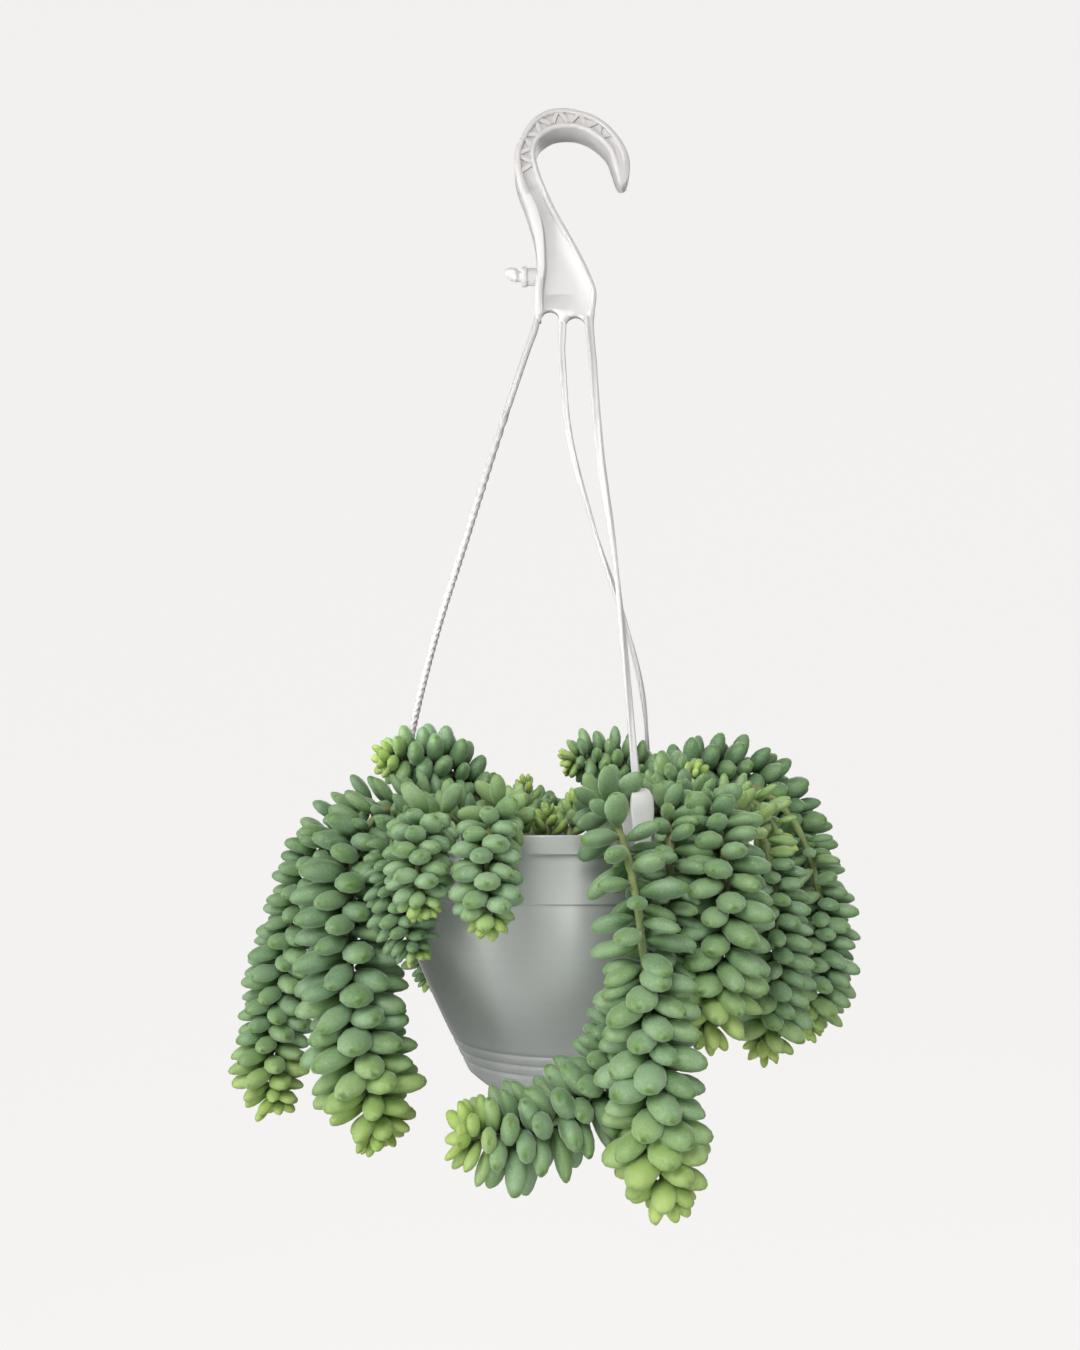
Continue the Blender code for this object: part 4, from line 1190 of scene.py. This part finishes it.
CLIPS = {"left": 172, "back": 52, "front": -69.5}      # direction of each clip from the pot's axis
CLIP_WIDTH = 9.4
CLIP_SHELL = 1.6
SLOT_INNER, SLOT_OUTER = 70.8, 76.4
CLIP_TOP = 15.5
CLIP_LEG = (-5, -2, 2, 6)                              # heights down the leg inside the rim
CLIP_FRONT_LEG = (9, 6, 3, 0, -3, -6, -8.4)            # and down the face outside it
CLIP_WEDGE = (-0.5, -10.3)                             # the end that turns in under the lip
CLIP_SHOULDER = 10.0                                   # height at which the hood starts to narrow
CLIP_NECK = 0.42                                       # share of its width that it has lost at the top
CLIP_TAPER_START = 8.0                                 # height under which the face narrows again
CLIP_TAPER = 0.030                                     # share of the width lost a millimetre there
CLIP_ROUND = 0.45
CLIP_COLUMNS = 8
BOW_STEPS = 12


def clip_mesh(angle):
    """A hood over the rim: a strip down the inside, over the top and down to a wedge under the lip."""
    middle, half = (SLOT_INNER + SLOT_OUTER) / 2, (SLOT_OUTER - SLOT_INNER) / 2 + CLIP_SHELL / 2
    spring = CLIP_TOP - half + CLIP_SHELL / 2
    bow = [math.pi * i / BOW_STEPS for i in range(BOW_STEPS + 1)]
    line = [(middle - half, z) for z in CLIP_LEG]
    line += [(middle - half * math.cos(turn), spring + half * math.sin(turn)) for turn in bow]
    line += [(middle + half, z) for z in CLIP_FRONT_LEG]
    line += [(middle + half + CLIP_WEDGE[0], CLIP_WEDGE[1])]
    outward = Vector((math.cos(angle), math.sin(angle), 0))
    along = Vector((-outward.y, outward.x, 0))
    bm = bmesh.new()
    rows = []
    for radius, z in line:
        taper = CLIP_TAPER * min(z - CLIP_TAPER_START, 0) * (1 if radius > middle else 0.15)
        width = CLIP_WIDTH * (1 - CLIP_NECK * ramp(z, CLIP_SHOULDER, 7.5) ** 2.2 + taper)
        centre = outward * radius + Vector((0, 0, z))
        rows.append([bm.verts.new(RIM_CENTRE + (centre + along * width * (i / CLIP_COLUMNS - 0.5)) * MM)
                     for i in range(CLIP_COLUMNS + 1)])
    skin(bm, rows, closed=False)
    return mesh_from(bm, "clip", 60)


PEG_OUTLINE = ((0, -4), (4.1, -4), (4.1, 2.4), (4.7, 2.4), (4.7, 5.0), (2.5, 5.0), (2.3, 6.2), (3.3, 8.0),
               (3.0, 10.6), (1.2, 13.2), (0, 13.4))
PEG_PLACE = (-18, 0, -79.5)
PEG_COLLAR = 5.0                # where the collar ends, past which the knob leans
PEG_LEAN = 0.30


def peg_mesh():
    """Side peg: a short cylinder with a collar and a pointed knob, along -X from the plate."""
    bm = spun(rounded(PEG_OUTLINE, 0.5, 3), 40)
    for v in bm.verts:
        v.co.x += PEG_LEAN * max(0.0, v.co.z - PEG_COLLAR * MM)
    turn = Vector((0, 0, 1)).rotation_difference(Vector((-1, 0, 0))).to_matrix().to_4x4()
    bmesh.ops.transform(bm, matrix=Matrix.Translation(Vector(PEG_PLACE) * MM) @ turn, verts=bm.verts)
    return mesh_from(bm, "peg", 35)


def build_hook():
    """Hook and plate, the slanted ribs in the arch's recess, and the side peg."""
    gaps = [link("plate_gap", plate_gap_mesh(*gap)) for gap in PLATE_GAPS]
    hook = bake_cut(link("hook_body", hook_mesh()), "hook_and_plate", *gaps)
    finish_piece(hook, "hanger", "hanger", finish=HANGER)

    middle, widths = [], []
    for a, b, c, d, depth, fade in HOOK_ROWS:
        if b > RIBS_START and fade < 0.5:
            middle.append(Vector(((a + c) / 2, 0, (b + d) / 2)) * MM)
            widths.append((Vector((a - c, b - d)).length - 1.5 * RIB) * MM)
    host = link("hook_ribs_path", path_mesh("hook_ribs_path", middle))
    store(host.data, "width", widths)
    run_tree(host, truss_tree(), material=HANGER, ribs=14)
    finish_piece(bake(host, "hook_ribs"), "hanger", finish=HANGER)
    finish_piece(link("side_peg", peg_mesh()), "hanger", finish=HANGER)


def build_arm(side, strap):
    """One arm from the plate to the rim."""
    arm = ARMS[side]
    section = link("arm_section", arm_section(arm["rope"]))
    rows = curve_points([tuple(v * MM for v in p) for p in arm["points"]], ARM_STEP)
    host = link("arm_path_" + side, path_mesh("arm_path", [RIM_CENTRE + Vector(p[:3]) for p in rows]))
    store(host.data, "thickness", [p[3] for p in rows])
    run_tree(host, strap, section=section, material=HANGER, turns=arm["turns"],
             twist_from=arm["twist_from"], step=ROPE_STEP if arm["rope"] else STRAP_STEP)
    # the rope and the straps take darker copies of the white plastic, painted shade
    finish_piece(bake(host, "arm_" + side), "hanger", finish=ROPE if arm["rope"] else ARM)
    bpy.data.objects.remove(section)


def build_clip(side):
    """The clip that holds an arm to the rim."""
    host = link("clip_sheet_" + side, clip_mesh(math.radians(CLIPS[side])))
    wall = host.modifiers.new("wall", "SOLIDIFY")
    wall.thickness, wall.offset = CLIP_SHELL * MM, 0
    edge = host.modifiers.new("edge", "BEVEL")
    edge.width, edge.segments, edge.limit_method = CLIP_ROUND * MM, 3, "ANGLE"
    edge.angle_limit = math.radians(50)
    # the clip takes a brighter copy of the white plastic, painted light
    finish_piece(bake(host, "clip_" + side), "hanger", finish=CLIP)


def build_hanger():
    """The hook, and an arm with its clip on each of three sides."""
    build_hook()
    strap = strap_tree()
    for side in ARMS:
        build_arm(side, strap)
        build_clip(side)


# --- studio ---

CAMERA_PLACE = Vector((-14, -402, -350)) * MM
CAMERA_PITCH = math.atan(160 / 900)
LENS = 24
SENSOR = 36
ROOM_RADIUS = 3.0
FLOOR_RADIUS = 1.2             # where the floor starts to curve up
FLOOR_Z = -0.95
WALL_TOP = 4.5
COVE_STEPS = 12
ROOM_SEGMENTS = 64
POT_AIM = Vector((0, 0, -0.33))
HOOK_AIM = Vector((0, 0, -0.02))
LIGHTS = (                     # name, azimuth, height, distance, size, power, aim, spread
    ("front_box", -18, 0.70, 1.10, (0.50, 0.65), 10.0, POT_AIM, 180),
    ("right_box", 55, 0.35, 1.2, (0.60, 1.0), 3.5, POT_AIM, 180),
    ("left_box", -70, 0.20, 1.2, (0.40, 1.3), 6.0, POT_AIM, 180),
    ("low_front_box", 6, -0.50, 0.9, (0.24, 0.6), 0.55, POT_AIM, 80),
    ("low_left_box", -66, -0.45, 0.9, (0.25, 0.7), 0.55, POT_AIM, 80),
    ("hook_fill", -62, -0.24, 0.17, (0.20, 0.14), 0.62, HOOK_AIM, 180),
    ("back_box", 150, 0.9, 1.3, (1.2, 0.8), 6.0, POT_AIM, 180),
)


def build_stage():
    """A pale floor that curves up into a round wall, so that every side has the same backdrop."""
    cove = ROOM_RADIUS - FLOOR_RADIUS
    turns = [math.pi / 2 * i / COVE_STEPS for i in range(1, COVE_STEPS + 1)]
    profile = [(0, FLOOR_Z), (FLOOR_RADIUS, FLOOR_Z)]
    profile += [(FLOOR_RADIUS + cove * math.sin(turn), FLOOR_Z + cove * (1 - math.cos(turn)))
                for turn in turns]
    profile.append((ROOM_RADIUS, WALL_TOP))
    backdrop = link("backdrop", mesh_from(spun(profile, ROOM_SEGMENTS, 1.0), "backdrop", ALL_SMOOTH))
    backdrop.data.materials.append(material(
        "backdrop_paper", 0.9, 0.0, Base_Color=(0.10, 0.10, 0.10), Emission_Color=(1.0, 0.99, 0.975),
        Emission_Strength=0.86)[0])
    backdrop.visible_diffuse = False
    backdrop.visible_glossy = False
    backdrop.visible_shadow = False


def add_light(name, azimuth, height, distance, size, power, aim, spread_angle):
    """A soft box; azimuth 0 is in front of the plant and positive is to the right."""
    turn = math.radians(azimuth)
    place = aim + Vector((math.sin(turn) * distance, -math.cos(turn) * distance, height))
    light = bpy.data.lights.new(name, "AREA")
    light.shape = "RECTANGLE"
    light.size, light.size_y = size
    light.energy = power
    light.spread = math.radians(spread_angle)
    light.color = (1.0, 0.985, 0.96)
    holder = link(name, light)
    holder.location = place
    holder.rotation_euler = (aim - place).to_track_quat("-Z", "Y").to_euler()
    holder.visible_camera = False


def build_studio():
    """Backdrop, lights, a dim world and the camera."""
    build_stage()
    for light in LIGHTS:
        add_light(*light)
    world = bpy.data.worlds.new("studio")
    world.use_nodes = True
    glow = world.node_tree.nodes["Background"].inputs
    plug(world.node_tree, glow["Color"], (1.0, 0.995, 0.99))
    plug(world.node_tree, glow["Strength"], 0.22)
    bpy.context.scene.world = world
    camera = bpy.data.cameras.new("camera")
    camera.lens, camera.sensor_width, camera.sensor_fit = LENS, SENSOR, "AUTO"
    camera.clip_start = 0.01
    holder = link("camera", camera)
    holder.location = CAMERA_PLACE
    holder.rotation_euler = (math.pi / 2 + CAMERA_PITCH, 0, 0)
    bpy.context.scene.camera = holder
    bpy.context.scene.view_settings.view_transform = "Standard"


build_studio()
build_plant()
build_pot()
build_soil()
build_hanger()
